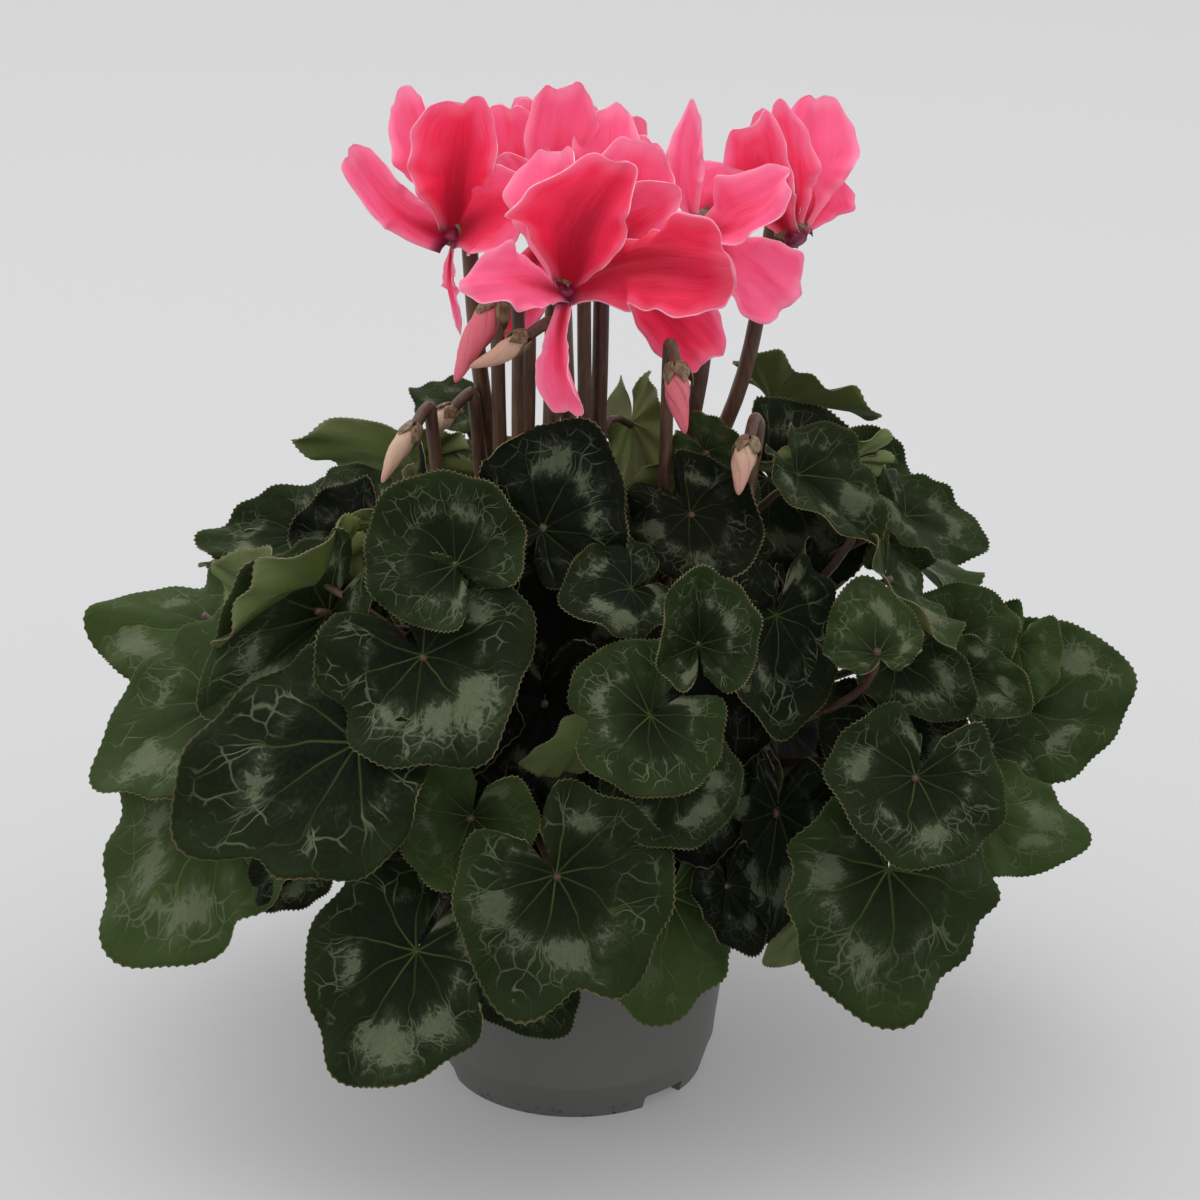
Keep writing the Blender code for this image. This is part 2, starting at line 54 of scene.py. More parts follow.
def makeStudio():
    bpy.ops.object.camera_add(
        location=view["place"], rotation=(math.radians(view["pitch"]), 0, 0)
    )
    camera = bpy.context.object
    camera.name = "studioCamera"
    camera.data.lens = view["lens"]
    camera.data.sensor_width = 36
    camera.data.clip_start = 0.01
    bpy.context.scene.camera = camera

    bpy.ops.mesh.primitive_plane_add(size=floorLook["size"])
    floor = bpy.context.object
    floor.name = "studioFloor"
    paint = bpy.data.materials.new("paleFloor")
    paint.use_nodes = True
    shader = paint.node_tree.nodes["Principled BSDF"]
    shader.inputs["Base Color"].default_value = floorLook["colour"]
    shader.inputs["Roughness"].default_value = floorLook["roughness"]
    shader.inputs["Emission Color"].default_value = (1, 1, 1, 1)  # a lit table keeps shadows soft
    shader.inputs["Emission Strength"].default_value = floorLook["glow"]
    floor.data.materials.append(paint)

    sky = Finish("studioSky", bpy.data.worlds.new("studioSky"))
    _, away, up = sky.split(sky.add("TexCoord", None, out=0))
    strength = skyLook["front"] + up.step(0.30, 0.95) * skyLook["top"]
    strength = strength + away.step(-0.2, 0.7) * skyLook["back"]
    glow = sky.add("Background", None, {"Color": skyLook["colour"], "Strength": strength})
    sky.add("OutputWorld", None, {0: glow})
    bpy.context.scene.world = sky.made
    bpy.context.scene.view_settings.view_transform = "Standard"

    for lamp in lamps:
        bpy.ops.object.light_add(type="AREA", location=lamp["place"])
        made = bpy.context.object
        made.name = lamp["name"]
        made.data.size = lamp["size"]
        made.data.energy = lamp["power"]
        aim = Vector(lamp["aim"]) - Vector(lamp["place"])
        made.rotation_euler = aim.to_track_quat("-Z", "Y").to_euler()


# finishes
class Wire:  # one output socket, ready for sums
    def __init__(self, finish, socket):
        self.finish, self.socket = finish, socket

    def sum(self, operation, *others):
        return self.finish.add("Math", {"operation": operation}, [self, *others])

    def __add__(self, other):
        return self.sum("ADD", other)

    __radd__ = __add__

    def __mul__(self, other):
        return self.sum("MULTIPLY", other)

    __rmul__ = __mul__

    def __sub__(self, other):
        return self.sum("SUBTRACT", other)

    def __rsub__(self, other):
        return self.finish.add("Math", {"operation": "SUBTRACT"}, [other, self])

    def __truediv__(self, other):
        return self.sum("DIVIDE", other)

    def __pow__(self, other):
        return self.sum("POWER", other)

    def __abs__(self):
        return self.sum("ABSOLUTE")

    def high(self, other):
        return self.sum("MAXIMUM", other)

    def low(self, other):
        return self.sum("MINIMUM", other)

    def step(self, start, end):  # 0 before start, 1 after end, smooth between
        return self.finish.add(
            "MapRange", {"interpolation_type": "SMOOTHSTEP"}, [self, start, end, 0.0, 1.0]
        )


class Finish:
    def __init__(self, name, owner=None):
        self.made = owner or bpy.data.materials.new(name)
        self.made.use_nodes = True
        self.tree = self.made.node_tree
        self.tree.nodes.clear()

    def add(self, kind, settings=None, sockets=(), out=0):
        node = self.tree.nodes.new("ShaderNode" + kind)
        for key, value in (settings or {}).items():
            setattr(node, key, value)
        for key, value in sockets.items() if isinstance(sockets, dict) else enumerate(sockets):
            if isinstance(value, Wire):
                self.tree.links.new(value.socket, node.inputs[key])
            else:
                node.inputs[key].default_value = value
        return Wire(self, node.outputs[out]) if len(node.outputs) else None

    def mix(self, share, first, second, way="MIX"):
        colours = {0: share, 6: first, 7: second}
        return self.add("Mix", {"data_type": "RGBA", "blend_type": way}, colours, 2)

    def attribute(self, name):
        return self.add("Attribute", {"attribute_name": name}, out=1)

    def split(self, vector):
        node = self.add("SeparateXYZ", None, [vector])
        return [Wire(self, socket) for socket in node.socket.node.outputs]

    def vector(self, x, y, z=0.0):
        return self.add("CombineXYZ", None, [x, y, z])

    def noise(self, place, scale, detail=2.0, roughness=0.5, colour=False):
        sockets = {"Vector": place, "Scale": scale, "Detail": detail, "Roughness": roughness}
        return self.add("TexNoise", None, sockets, 1 if colour else 0)

    def cracks(self, place, scale):
        sockets = {"Vector": place, "Scale": scale}
        return self.add("TexVoronoi", {"feature": "DISTANCE_TO_EDGE"}, sockets)

    def chance(self, place):
        return self.add("TexWhiteNoise", None, {"Vector": place})

    def stretched(self, place, scale, turn=(0, 0, 0)):
        return self.add("Mapping", None, {"Vector": place, "Scale": scale, "Rotation": turn})

    def objectPlace(self):
        return self.add("TexCoord", None, out=3)

    def bump(self, height, depth, strength=1.0):
        return self.add("Bump", None, {"Height": height, "Distance": depth, "Strength": strength})

    def thin(self, tint):  # light that passes a thin sheet
        return self.add("BsdfTranslucent", None, {"Color": tint})

    def blend(self, share, first, second):
        return self.add("MixShader", None, {0: share, 1: first, 2: second})

    def layered(self, tint, layers):  # the colour of the layers, and the light that passes them
        colour, through = tint, self.thin(tint)
        for share, tint in layers:
            colour = self.mix(share, colour, tint)
            through = self.blend(share, through, self.thin(tint))
        return colour, through

    def surface(self, colour, roughness, bump, glow=0.0, through=None, **extra):
        sockets = {"Base Color": colour, "Roughness": roughness, "Normal": bump, **extra}
        shader = self.add("BsdfPrincipled", None, sockets)
        if glow:  # the share of the light that passes to the other side
            shader = self.blend(glow, shader, through)
        self.add("OutputMaterial", None, {0: shader})
        return self.made


leafLook = dict(
    darkGreen=(0.0036, 0.0054, 0.0021, 1),
    freshGreen=(0.041, 0.066, 0.018, 1),
    silver=(0.128, 0.148, 0.088, 1),
    veinGreen=(0.11, 0.150, 0.040, 1),
    margin=(0.15, 0.13, 0.055, 1),
    underGreen=(0.135, 0.185, 0.036, 1),
    underVein=(0.17, 0.21, 0.085, 1),
    veinSpacing=math.radians(36),
    glow=0.22,
)


def veinNet(finish):
    place = finish.attribute("leafPlace")
    x, y, share = finish.split(place)
    tone, silver, seed = finish.split(finish.attribute("leafSort"))
    flat = finish.vector(x + seed * 3.1, y + seed * 1.7, seed)
    reach = (x * x + y * y) ** 0.5
    drift = (finish.noise(flat, 2.2, 2.0) - 0.5) * reach * 1.5
    angle = y.sum("ARCTAN2", x) + drift + (finish.noise(flat, 9.0, 1.0) - 0.5) * reach * 0.10
    spacing = leafLook["veinSpacing"]
    aside = angle.sum("PINGPONG", spacing / 2)
    along = aside * reach
    fork = abs(aside - (reach - 0.44).high(0.0) * 0.50) * reach
    thin = 0.0125 - share * 0.0065
    nearest = (angle / spacing + 0.5).sum("FLOOR")
    own = seed.sum("FLOOR")
    strength = finish.chance(finish.vector(nearest, own, 1.5))
    main = (1 - along.step(thin * 0.3, thin)) * (1 - share.step(0.66, 0.86) * 0.7)
    main = main * (0.25 + strength * 0.85).low(1.0)
    twigs = (1 - fork.step(thin * 0.2, thin * 0.9)) * share.step(0.40, 0.50)
    warp = finish.noise(flat, 4.0, 3.0, colour=True)
    bent = finish.add("VectorMath", {"operation": "MULTIPLY_ADD"}, [warp, (0.14,) * 3, flat])
    cells = finish.cracks(bent, 5.5)
    net = (1 - cells.step(0.008, 0.042)) * share.step(0.30, 0.55)
    sector = (angle / spacing).sum("FLOOR")
    luck = finish.chance(finish.vector(sector, own, 0.5))
    return dict(flat=flat, share=share, tone=tone, silver=silver, seed=seed, aside=aside,
                main=main, twigs=twigs, net=net, cells=cells, angle=angle, luck=luck)


def makeLeafTop():
    finish = Finish("leafTop")
    look = leafLook
    net = veinNet(finish)
    share, flat, luck = net["share"], net["flat"], net["luck"]
    clouds = finish.noise(flat, 2.6, 3.0)
    ragged = finish.noise(flat, 11.0, 4.0, 0.65)
    spokes = finish.vector(net["angle"] * 5.0, share * 2.6, net["seed"])
    streaks = finish.noise(spokes, 2.6, 5.0, 0.75)
    feathers = finish.noise(spokes, 8.0, 4.0, 0.75)
    fine = finish.noise(flat, 38.0, 3.0, 0.6)
    broad = finish.noise(flat, 1.7, 3.0)
    middle = 0.50 + luck * 0.12 + (clouds - 0.5) * 0.30
    inward = ((middle - share) / 0.13).high(0.0)
    outward = ((share - middle) / 0.22).high(0.0)
    flank = (look["veinSpacing"] * 0.5 - net["aside"]) / (look["veinSpacing"] * 0.5)
    frost = 0.42 - inward - outward - flank * flank * 0.75 + (streaks - 0.5) * 2.2
    frost = frost + (feathers - 0.5) * 1.8 + (ragged - 0.5) * 1.2
    frost = frost + (luck - 0.5) * 1.7 + (broad - 0.5) * 1.4
    patch = frost.step(0.10, 0.60) * (0.70 + feathers * 0.5) * net["silver"]
    haze = (frost + 0.70).step(0.0, 1.3) * (0.5 + fine) * net["silver"] * (1 - net["main"]) * 0.20
    dendrites = net["twigs"].high(net["net"] * 0.7).high(net["main"] * 0.8)
    dendrites = dendrites * share.step(0.46, 0.60) * (1 - share.step(0.84, 0.95))
    dendrites = dendrites * (finish.noise(flat, 4.2, 2.0) + luck * 0.15).step(0.44, 0.62)
    dendrites = (dendrites * (0.7 + ragged * 0.6)).low(1.0) * net["silver"].low(1.1)
    greenish = net["tone"] + (broad - 0.5) * 0.35 + (share - 0.5) * 0.25
    ground = finish.mix(greenish.step(0.03, 1.03), look["darkGreen"], look["freshGreen"])
    ground = finish.mix((1 - share.step(0.0, 0.45)) * 0.6, ground, look["darkGreen"])
    ground = finish.mix(fine.step(0.4, 0.8) * 0.14, ground, look["freshGreen"])
    speckle = finish.noise(flat, 60.0, 2.0).step(0.70, 0.78) * 0.25
    ground = finish.mix(speckle, ground, look["silver"])
    # a tone below 0 mixes the leaf towards near black: painted shade for leaves in the shade of others
    ground = finish.mix((0 - net["tone"]).high(0.0) * 0.85, ground, (0.0008, 0.0012, 0.0006, 1))
    ground = finish.mix(haze, ground, look["silver"])
    colour = finish.mix(patch.low(0.95) * (0.55 + fine * 0.45), ground, look["silver"])
    colour = finish.mix(dendrites * 0.8, colour, look["silver"])
    veins = (net["main"] * (1.15 - share)).high(net["twigs"] * 0.35)
    colour = finish.mix(veins * (0.34 + net["tone"] * 0.5), colour, look["veinGreen"])
    colour = finish.mix(share.step(0.985, 1.0) * 0.6, colour, look["margin"])
    height = 0.55 + fine * 0.08 + net["cells"].low(0.16) * 1.5 - net["main"] * 0.6
    height = height - net["twigs"] * 0.3
    rough = 0.40 + fine * 0.14 - patch * 0.03 + broad * 0.10
    return finish.surface(
        colour, rough, finish.bump(height, 0.0007, 0.7), look["glow"] * 0.5,
        finish.thin(look["freshGreen"]), **{"Specular IOR Level": 0.06},
    )


def makeLeafUnder():
    finish = Finish("leafUnder")
    look = leafLook
    net = veinNet(finish)
    fine = finish.noise(net["flat"], 30.0, 3.0, 0.6)
    broad = finish.noise(net["flat"], 2.2, 3.0)
    veins = net["main"].high(net["twigs"] * 0.7).high(net["net"] * 0.35)
    warm = finish.mix(broad.step(0.35, 0.7) * 0.55, look["underGreen"], (0.115, 0.125, 0.05, 1))
    colour = finish.mix(fine.step(0.3, 0.8) * 0.25, warm, (0.05, 0.08, 0.02, 1))
    colour = finish.mix(veins * 0.6, colour, look["underVein"])
    colour = finish.mix(net["share"].step(0.96, 1.0) * 0.6, colour, look["margin"])
    height = 0.4 + fine * 0.15 + net["main"] * 0.6 + net["twigs"] * 0.3 - net["cells"].low(0.1)
    return finish.surface(
        colour, 0.5 + fine * 0.15, finish.bump(height, 0.0007, 0.7), look["glow"],
        finish.thin((0.20, 0.26, 0.05, 1)),
    )


stalkLook = dict(dark=(0.048, 0.015, 0.009, 1), light=(0.130, 0.072, 0.034, 1))
leafStalkLook = dict(dark=(0.050, 0.018, 0.010, 1), light=(0.085, 0.060, 0.024, 1))


def makeStalkSkin(name, dark, light):
    finish = Finish(name)
    place = finish.objectPlace()
    streaks = finish.noise(finish.stretched(place, (1, 1, 0.12)), 900.0, 3.0, 0.6)
    broad = finish.noise(place, 26.0, 2.0)
    hairs = finish.noise(place, 2600.0, 2.0)
    colour = finish.mix((broad * 0.7 + streaks * 0.6).step(0.45, 0.9), dark, light)
    height = streaks * 0.6 + hairs * 0.4
    return finish.surface(colour, 0.36 + streaks * 0.2, finish.bump(height, 0.0002, 0.8))


petalLook = dict(
    deepRed=(0.46, 0.003, 0.026, 1),
    coral=(0.90, 0.030, 0.110, 1),
    pink=(0.94, 0.165, 0.345, 1),
    pale=(0.98, 0.45, 0.62, 1),
    nose=(0.16, 0.003, 0.040, 1),
    glow=0.38,
    # a glow in the petals' own colour: painted light that brightens them beyond the lamps
    paintedGlow=0.14,
)


def makePetalSkin():
    finish = Finish("petalSkin")
    look = petalLook
    along, side, edge = finish.split(finish.attribute("petalPlace"))
    tone, seed, _ = finish.split(finish.attribute("petalSort"))
    across = side * (0.35 + along * 0.65)
    strokes = finish.noise(finish.vector(across * 16.0, along * 2.2, seed * 7.0), 1.4, 4.0, 0.6)
    hairs = finish.noise(finish.vector(across * 60.0, along * 3.0, seed * 7.0), 1.4, 3.0, 0.6)
    clouds = finish.noise(finish.vector(side * 1.2, along * 2.0, seed * 5.0), 1.6, 2.0)
    centre = (1 - abs(side)).step(0.15, 1.05) * (1 - along.step(0.35, 1.0) * 0.75)
    red = centre * 0.7 + (strokes - 0.5) * 0.5 + tone * 0.75 - 0.52
    red = red + (1 - along.step(0.0, 0.5)) * 0.60
    outer = abs(side) * 0.55 + along * 0.60 + (clouds - 0.5) * 0.7
    outer = outer + (strokes - 0.5) * 0.55 - tone + 0.35
    soft = (1 - edge.step(0.0, 0.14)) * (0.55 - tone * 0.35)
    nose = 1 - along.step(0.02, 0.13)
    colour, through = finish.layered(look["coral"], [
        (outer.step(0.12, 0.95), look["pink"]),
        (red.step(0.05, 0.95), look["deepRed"]),
        (soft.high((1 - edge.step(0.0, 0.028)) * 0.85), look["pale"]),
        (hairs.step(0.52, 0.75) * 0.22, look["deepRed"]),
        (nose * 0.9, look["nose"]),
    ])
    height = hairs * 0.5 + strokes * 0.5
    # the Emission below makes the petals glow with their own colour: painted light, brighter than the
    # lamps make them
    return finish.surface(
        colour, 0.6 + strokes * 0.12, finish.bump(height, 0.00045, 0.8), look["glow"], through,
        **{"Sheen Weight": 0.12, "Sheen Roughness": 0.4, "Specular IOR Level": 0.3,
           "Emission Color": colour, "Emission Strength": look["paintedGlow"]},
    )


# scale and detail of the spots, their edges, two colours, roughness and its change, relief
spottedLook = dict(
    leafMargin=(900.0, 2.0, 0.4, 0.65, (0.17, 0.18, 0.085, 1), (0.16, 0.075, 0.035, 1),
                0.5, 0.1, 0.0001),
    petalRim=(500.0, 2.0, 0.35, 0.7, (0.90, 0.52, 0.58, 1), (0.85, 0.26, 0.36, 1),
              0.5, 0.1, 0.0001),
    noseSkin=(420.0, 3.0, 0.35, 0.7, (0.12, 0.002, 0.03, 1), (0.34, 0.006, 0.05, 1),
              0.45, 0.15, 0.0002),
)


def makeSpotted(name):
    scale, detail, low, high, first, second, rough, change, relief = spottedLook[name]
    finish = Finish(name)
    spots = finish.noise(finish.objectPlace(), scale, detail)
    colour = finish.mix(spots.step(low, high), first, second)
    return finish.surface(colour, rough + spots * change, finish.bump(spots, relief))


def makeCalyxSkin():
    finish = Finish("calyxSkin")
    place = finish.objectPlace()
    streaks = finish.noise(finish.stretched(place, (1, 1, 0.2)), 900.0, 3.0, 0.65)
    colour = finish.mix(streaks.step(0.38, 0.62), (0.20, 0.17, 0.075, 1), (0.10, 0.035, 0.022, 1))
    return finish.surface(colour, 0.5 + streaks * 0.15, finish.bump(streaks, 0.0003))


def makeBudSkin():
    finish = Finish("budSkin")
    along, turn, _ = finish.split(finish.attribute("petalPlace"))
    tone, seed, _ = finish.split(finish.attribute("petalSort"))
    strokes = finish.noise(finish.vector(turn * 14.0, along * 3.0, seed), 1.5, 4.0, 0.6)
    ripe = tone + (strokes - 0.5) * 0.4 + (along - 0.5) * 0.3
    colour, through = finish.layered((0.66, 0.47, 0.33, 1), [
        (ripe.step(0.1, 0.9), (0.78, 0.16, 0.22, 1)),
        (strokes.step(0.5, 0.8) * 0.35, (0.80, 0.36, 0.33, 1)),
    ])
    return finish.surface(
        colour, 0.5 + strokes * 0.1, finish.bump(strokes, 0.0004, 0.8), 0.2, through
    )


def makePotPlastic():
    finish = Finish("potPlastic")
    place = finish.objectPlace()
    _, _, height = finish.split(place)
    grain = finish.noise(place, 2200.0, 3.0, 0.6)
    broad = finish.noise(place, 22.0, 3.0)
    tilted = finish.stretched(place, (1, 1, 6), (0.3, 0.2, 0))
    scuffs = finish.noise(tilted, 60.0, 5.0, 0.7).step(0.62, 0.74)
    dust = (1 - height.step(0.001, 0.006)) * finish.noise(place, 260.0, 4.0, 0.7).step(0.54, 0.62)
    colour = finish.mix(broad * 0.6, (0.094, 0.093, 0.089, 1), (0.126, 0.124, 0.118, 1))
    colour = finish.mix(scuffs * 0.28, colour, (0.17, 0.165, 0.155, 1))
    colour = finish.mix(dust, colour, (0.025, 0.014, 0.008, 1))
    rough = 0.46 + grain * 0.10 + scuffs * 0.12 + dust * 0.2
    relief = grain * 0.5 + scuffs * 0.2 + dust * 1.5
    return finish.surface(colour, rough, finish.bump(relief, 0.0002, 0.6))


def makeSoil():
    finish = Finish("soilCrumb")
    place = finish.objectPlace()
    lumps = finish.noise(place, 420.0, 5.0, 0.7)
    fibres = finish.noise(finish.stretched(place, (1, 5, 2)), 260.0, 3.0)
    colour = finish.mix(lumps.step(0.3, 0.7), (0.012, 0.007, 0.004, 1), (0.050, 0.030, 0.018, 1))
    colour = finish.mix(fibres.step(0.62, 0.72) * 0.6, colour, (0.12, 0.08, 0.045, 1))
    return finish.surface(colour, 0.85 + lumps * 0.1, finish.bump(lumps, 0.0012))


def makeTuberBark():
    finish = Finish("tuberBark")
    place = finish.objectPlace()
    plates = finish.cracks(place, 130)
    grain = finish.noise(place, 300.0, 5.0, 0.65)
    cracks = 1 - plates.step(0.0, 0.12)
    colour = finish.mix(grain.step(0.3, 0.7), (0.055, 0.030, 0.018, 1), (0.15, 0.092, 0.055, 1))
    colour = finish.mix(cracks * 0.7, colour, (0.022, 0.012, 0.008, 1))
    return finish.surface(colour, 0.75 + grain * 0.15, finish.bump(grain - cracks * 0.6, 0.0014))


# shared shaping
def pick(*pieces):
    bpy.ops.object.select_all(action="DESELECT")
    for piece in pieces:
        piece.select_set(True)
    bpy.context.view_layer.objects.active = pieces[0]


def applyModifiers(piece):
    pick(piece)
    for modifier in list(piece.modifiers):
        bpy.ops.object.modifier_apply(modifier=modifier.name)


def mend(piece, merge=None, outward=True):  # merge the seam's points, turn the faces outward
    pick(piece)
    bpy.ops.object.mode_set(mode="EDIT")
    bpy.ops.mesh.select_all(action="SELECT")
    if merge:
        bpy.ops.mesh.remove_doubles(threshold=merge)
    if outward:
        bpy.ops.mesh.normals_make_consistent(inside=False)
    bpy.ops.object.mode_set(mode="OBJECT")


def giveWall(piece, thickness, under=0, rim=0, fine=True):
    wall = piece.modifiers.new("wall", "SOLIDIFY")
    wall.thickness = thickness * mm
    wall.offset = 0
    wall.use_quality_normals = fine
    wall.material_offset, wall.material_offset_rim = under, rim
    applyModifiers(piece)


def bevelled(piece, width, segments):
    soften = piece.modifiers.new("soften", "BEVEL")
    soften.width, soften.segments = width * mm, segments


def pointsAlong(origin, *runs):  # each run is an axis and how far each point lies along it
    points = np.array(origin)[None]
    for axis, far in runs:
        points = points + np.array(axis)[None] * far[:, None]
    return points


def readPoints(mesh):
    points = np.empty(len(mesh.vertices) * 3)
    mesh.vertices.foreach_get("co", points)
    return points.reshape(-1, 3)


def writePoints(mesh, points):
    mesh.vertices.foreach_set("co", np.ascontiguousarray(points, float).ravel())
    mesh.update()


def addNote(mesh, name, values):  # one vector for each point, read by the finishes
    note = mesh.attributes.get(name) or mesh.attributes.new(name, "FLOAT_VECTOR", "POINT")
    note.data.foreach_set("vector", np.ascontiguousarray(values, float).ravel())


def readNote(mesh, name):
    values = np.empty(len(mesh.vertices) * 3)
    mesh.attributes[name].data.foreach_get("vector", values)
    return values.reshape(-1, 3)


def copyOf(master, name):
    piece = bpy.data.objects.new(name, master.data.copy())
    bpy.context.scene.collection.objects.link(piece)
    return piece


def ease(low, high, values):
    share = np.clip((values - low) / (high - low), 0, 1)
    return share * share * (3 - 2 * share)


def lookDirection(azimuth, elevation):
    azimuth, elevation = math.radians(azimuth), math.radians(elevation)
    flat = math.cos(elevation)
    return Vector((flat * math.sin(azimuth), -flat * math.cos(azimuth), math.sin(elevation)))


def sheetFrame(foot, tip, facing):
    along = (Vector(tip) - Vector(foot)).normalized()
    wish = lookDirection(*facing)
    out = (wish - along * wish.dot(along)).normalized()
    return along, out.cross(along), out


def placed(points, foot, axes):
    return (points @ np.array([list(axis) for axis in axes]) + np.array(foot)) * mm


def rolled(points, direction, start, turn):
    heading = np.array([math.cos(direction), math.sin(direction)])
    beyond = points[:, :2] @ heading - start
    bend = turn / max(float(beyond.max()), 1e-6)
    beyond = np.where(beyond > 0, beyond, 0)
    angle = bend * beyond
    height = points[:, 2]
    result = points.copy()
    shift = np.sin(angle) / bend - height * np.sin(angle) - beyond
    result[:, :2] += shift[:, None] * heading
    result[:, 2] = (1 - np.cos(angle)) / bend + height * np.cos(angle)
    return result


def bezier(start, startHandle, endHandle, end, count):
    points = []
    for step in range(count):
        t = step / (count - 1)
        s = 1 - t
        points.append(
            start * s**3 + startHandle * 3 * s * s * t + endHandle * 3 * s * t * t + end * t**3
        )
    return points


def smoothPath(points, count):  # a smooth run through the points, by Catmull-Rom
    spread = [points[0]] + list(points) + [points[-1]]
    result = []
    for step in range(count):
        place = step / (count - 1) * (len(points) - 1)
        i = min(int(place), len(points) - 2)
        t = place - i
        a, b, c, d = spread[i : i + 4]
        result.append(
            b + (c - a) * (0.5 * t) + (a * 2 - b * 5 + c * 4 - d) * (0.5 * t * t)
            + (b * 3 - a - c * 3 + d) * (0.5 * t**3)
        )
    return result


def makeTube(name, points, radii, finish, sides=5):
    curve = bpy.data.curves.new(name, "CURVE")
    curve.dimensions = "3D"
    curve.bevel_depth = mm
    curve.bevel_resolution = sides - 2
    curve.use_fill_caps = True
    line = curve.splines.new("POLY")
    line.points.add(len(points) - 1)
    for knot, point, radius in zip(line.points, points, radii):
        knot.co = (*(point * mm), 1)
        knot.radius = radius
    drawn = bpy.data.objects.new(name, curve)
    bpy.context.scene.collection.objects.link(drawn)
    curve.materials.append(finish)
    pick(drawn)
    bpy.ops.object.convert(target="MESH")
    made = bpy.context.object
    mend(made, 1e-6)
    return made


def joinPieces(first, *others):
    pick(first, *others)
    bpy.ops.object.join()
    return first


# where stalks leave the tuber, and the seeds of what grows by chance
seeds = dict(tiers=77, leaves=100, flowers=300, soil=11, tuber=12)
crown = dict(radius=29.0, halfHeight=15.0, middle=86.0, gap=0.4, flowerRings=(6.5, 11.8),
             bareRing=12.0, innerRing=14.3, leafRings=(17.0, 21.8))


def crownPoint(radius, azimuth):
    rise = crown["halfHeight"] * math.sqrt(1 - (radius / crown["radius"]) ** 2)
    side = Vector((math.sin(azimuth), -math.cos(azimuth), 0))
    normal = side * (radius / crown["radius"] ** 2)
    normal = (normal + Vector((0, 0, rise / crown["halfHeight"] ** 2))).normalized()
    lift = Vector((0, 0, crown["middle"] + rise - 1.5))
    return side * radius + lift + normal * crown["gap"], normal


def crownSlots(heads, rings):
    byHeight = sorted(heads, key=lambda name: -heads[name].z)
    split = round(len(byHeight) * rings[0] / sum(rings))
    slots = {}
    for radius, members in zip(rings, (byHeight[:split], byHeight[split:])):
        bearing = {name: math.atan2(heads[name].x, -heads[name].y) for name in members}
        order = sorted(members, key=bearing.get)
        spacing = 2 * math.pi / len(order)
        drift = sum(bearing[name] - i * spacing for i, name in enumerate(order)) / len(order)
        for i, name in enumerate(order):
            slots[name] = crownPoint(radius, drift + i * spacing)
    return slots


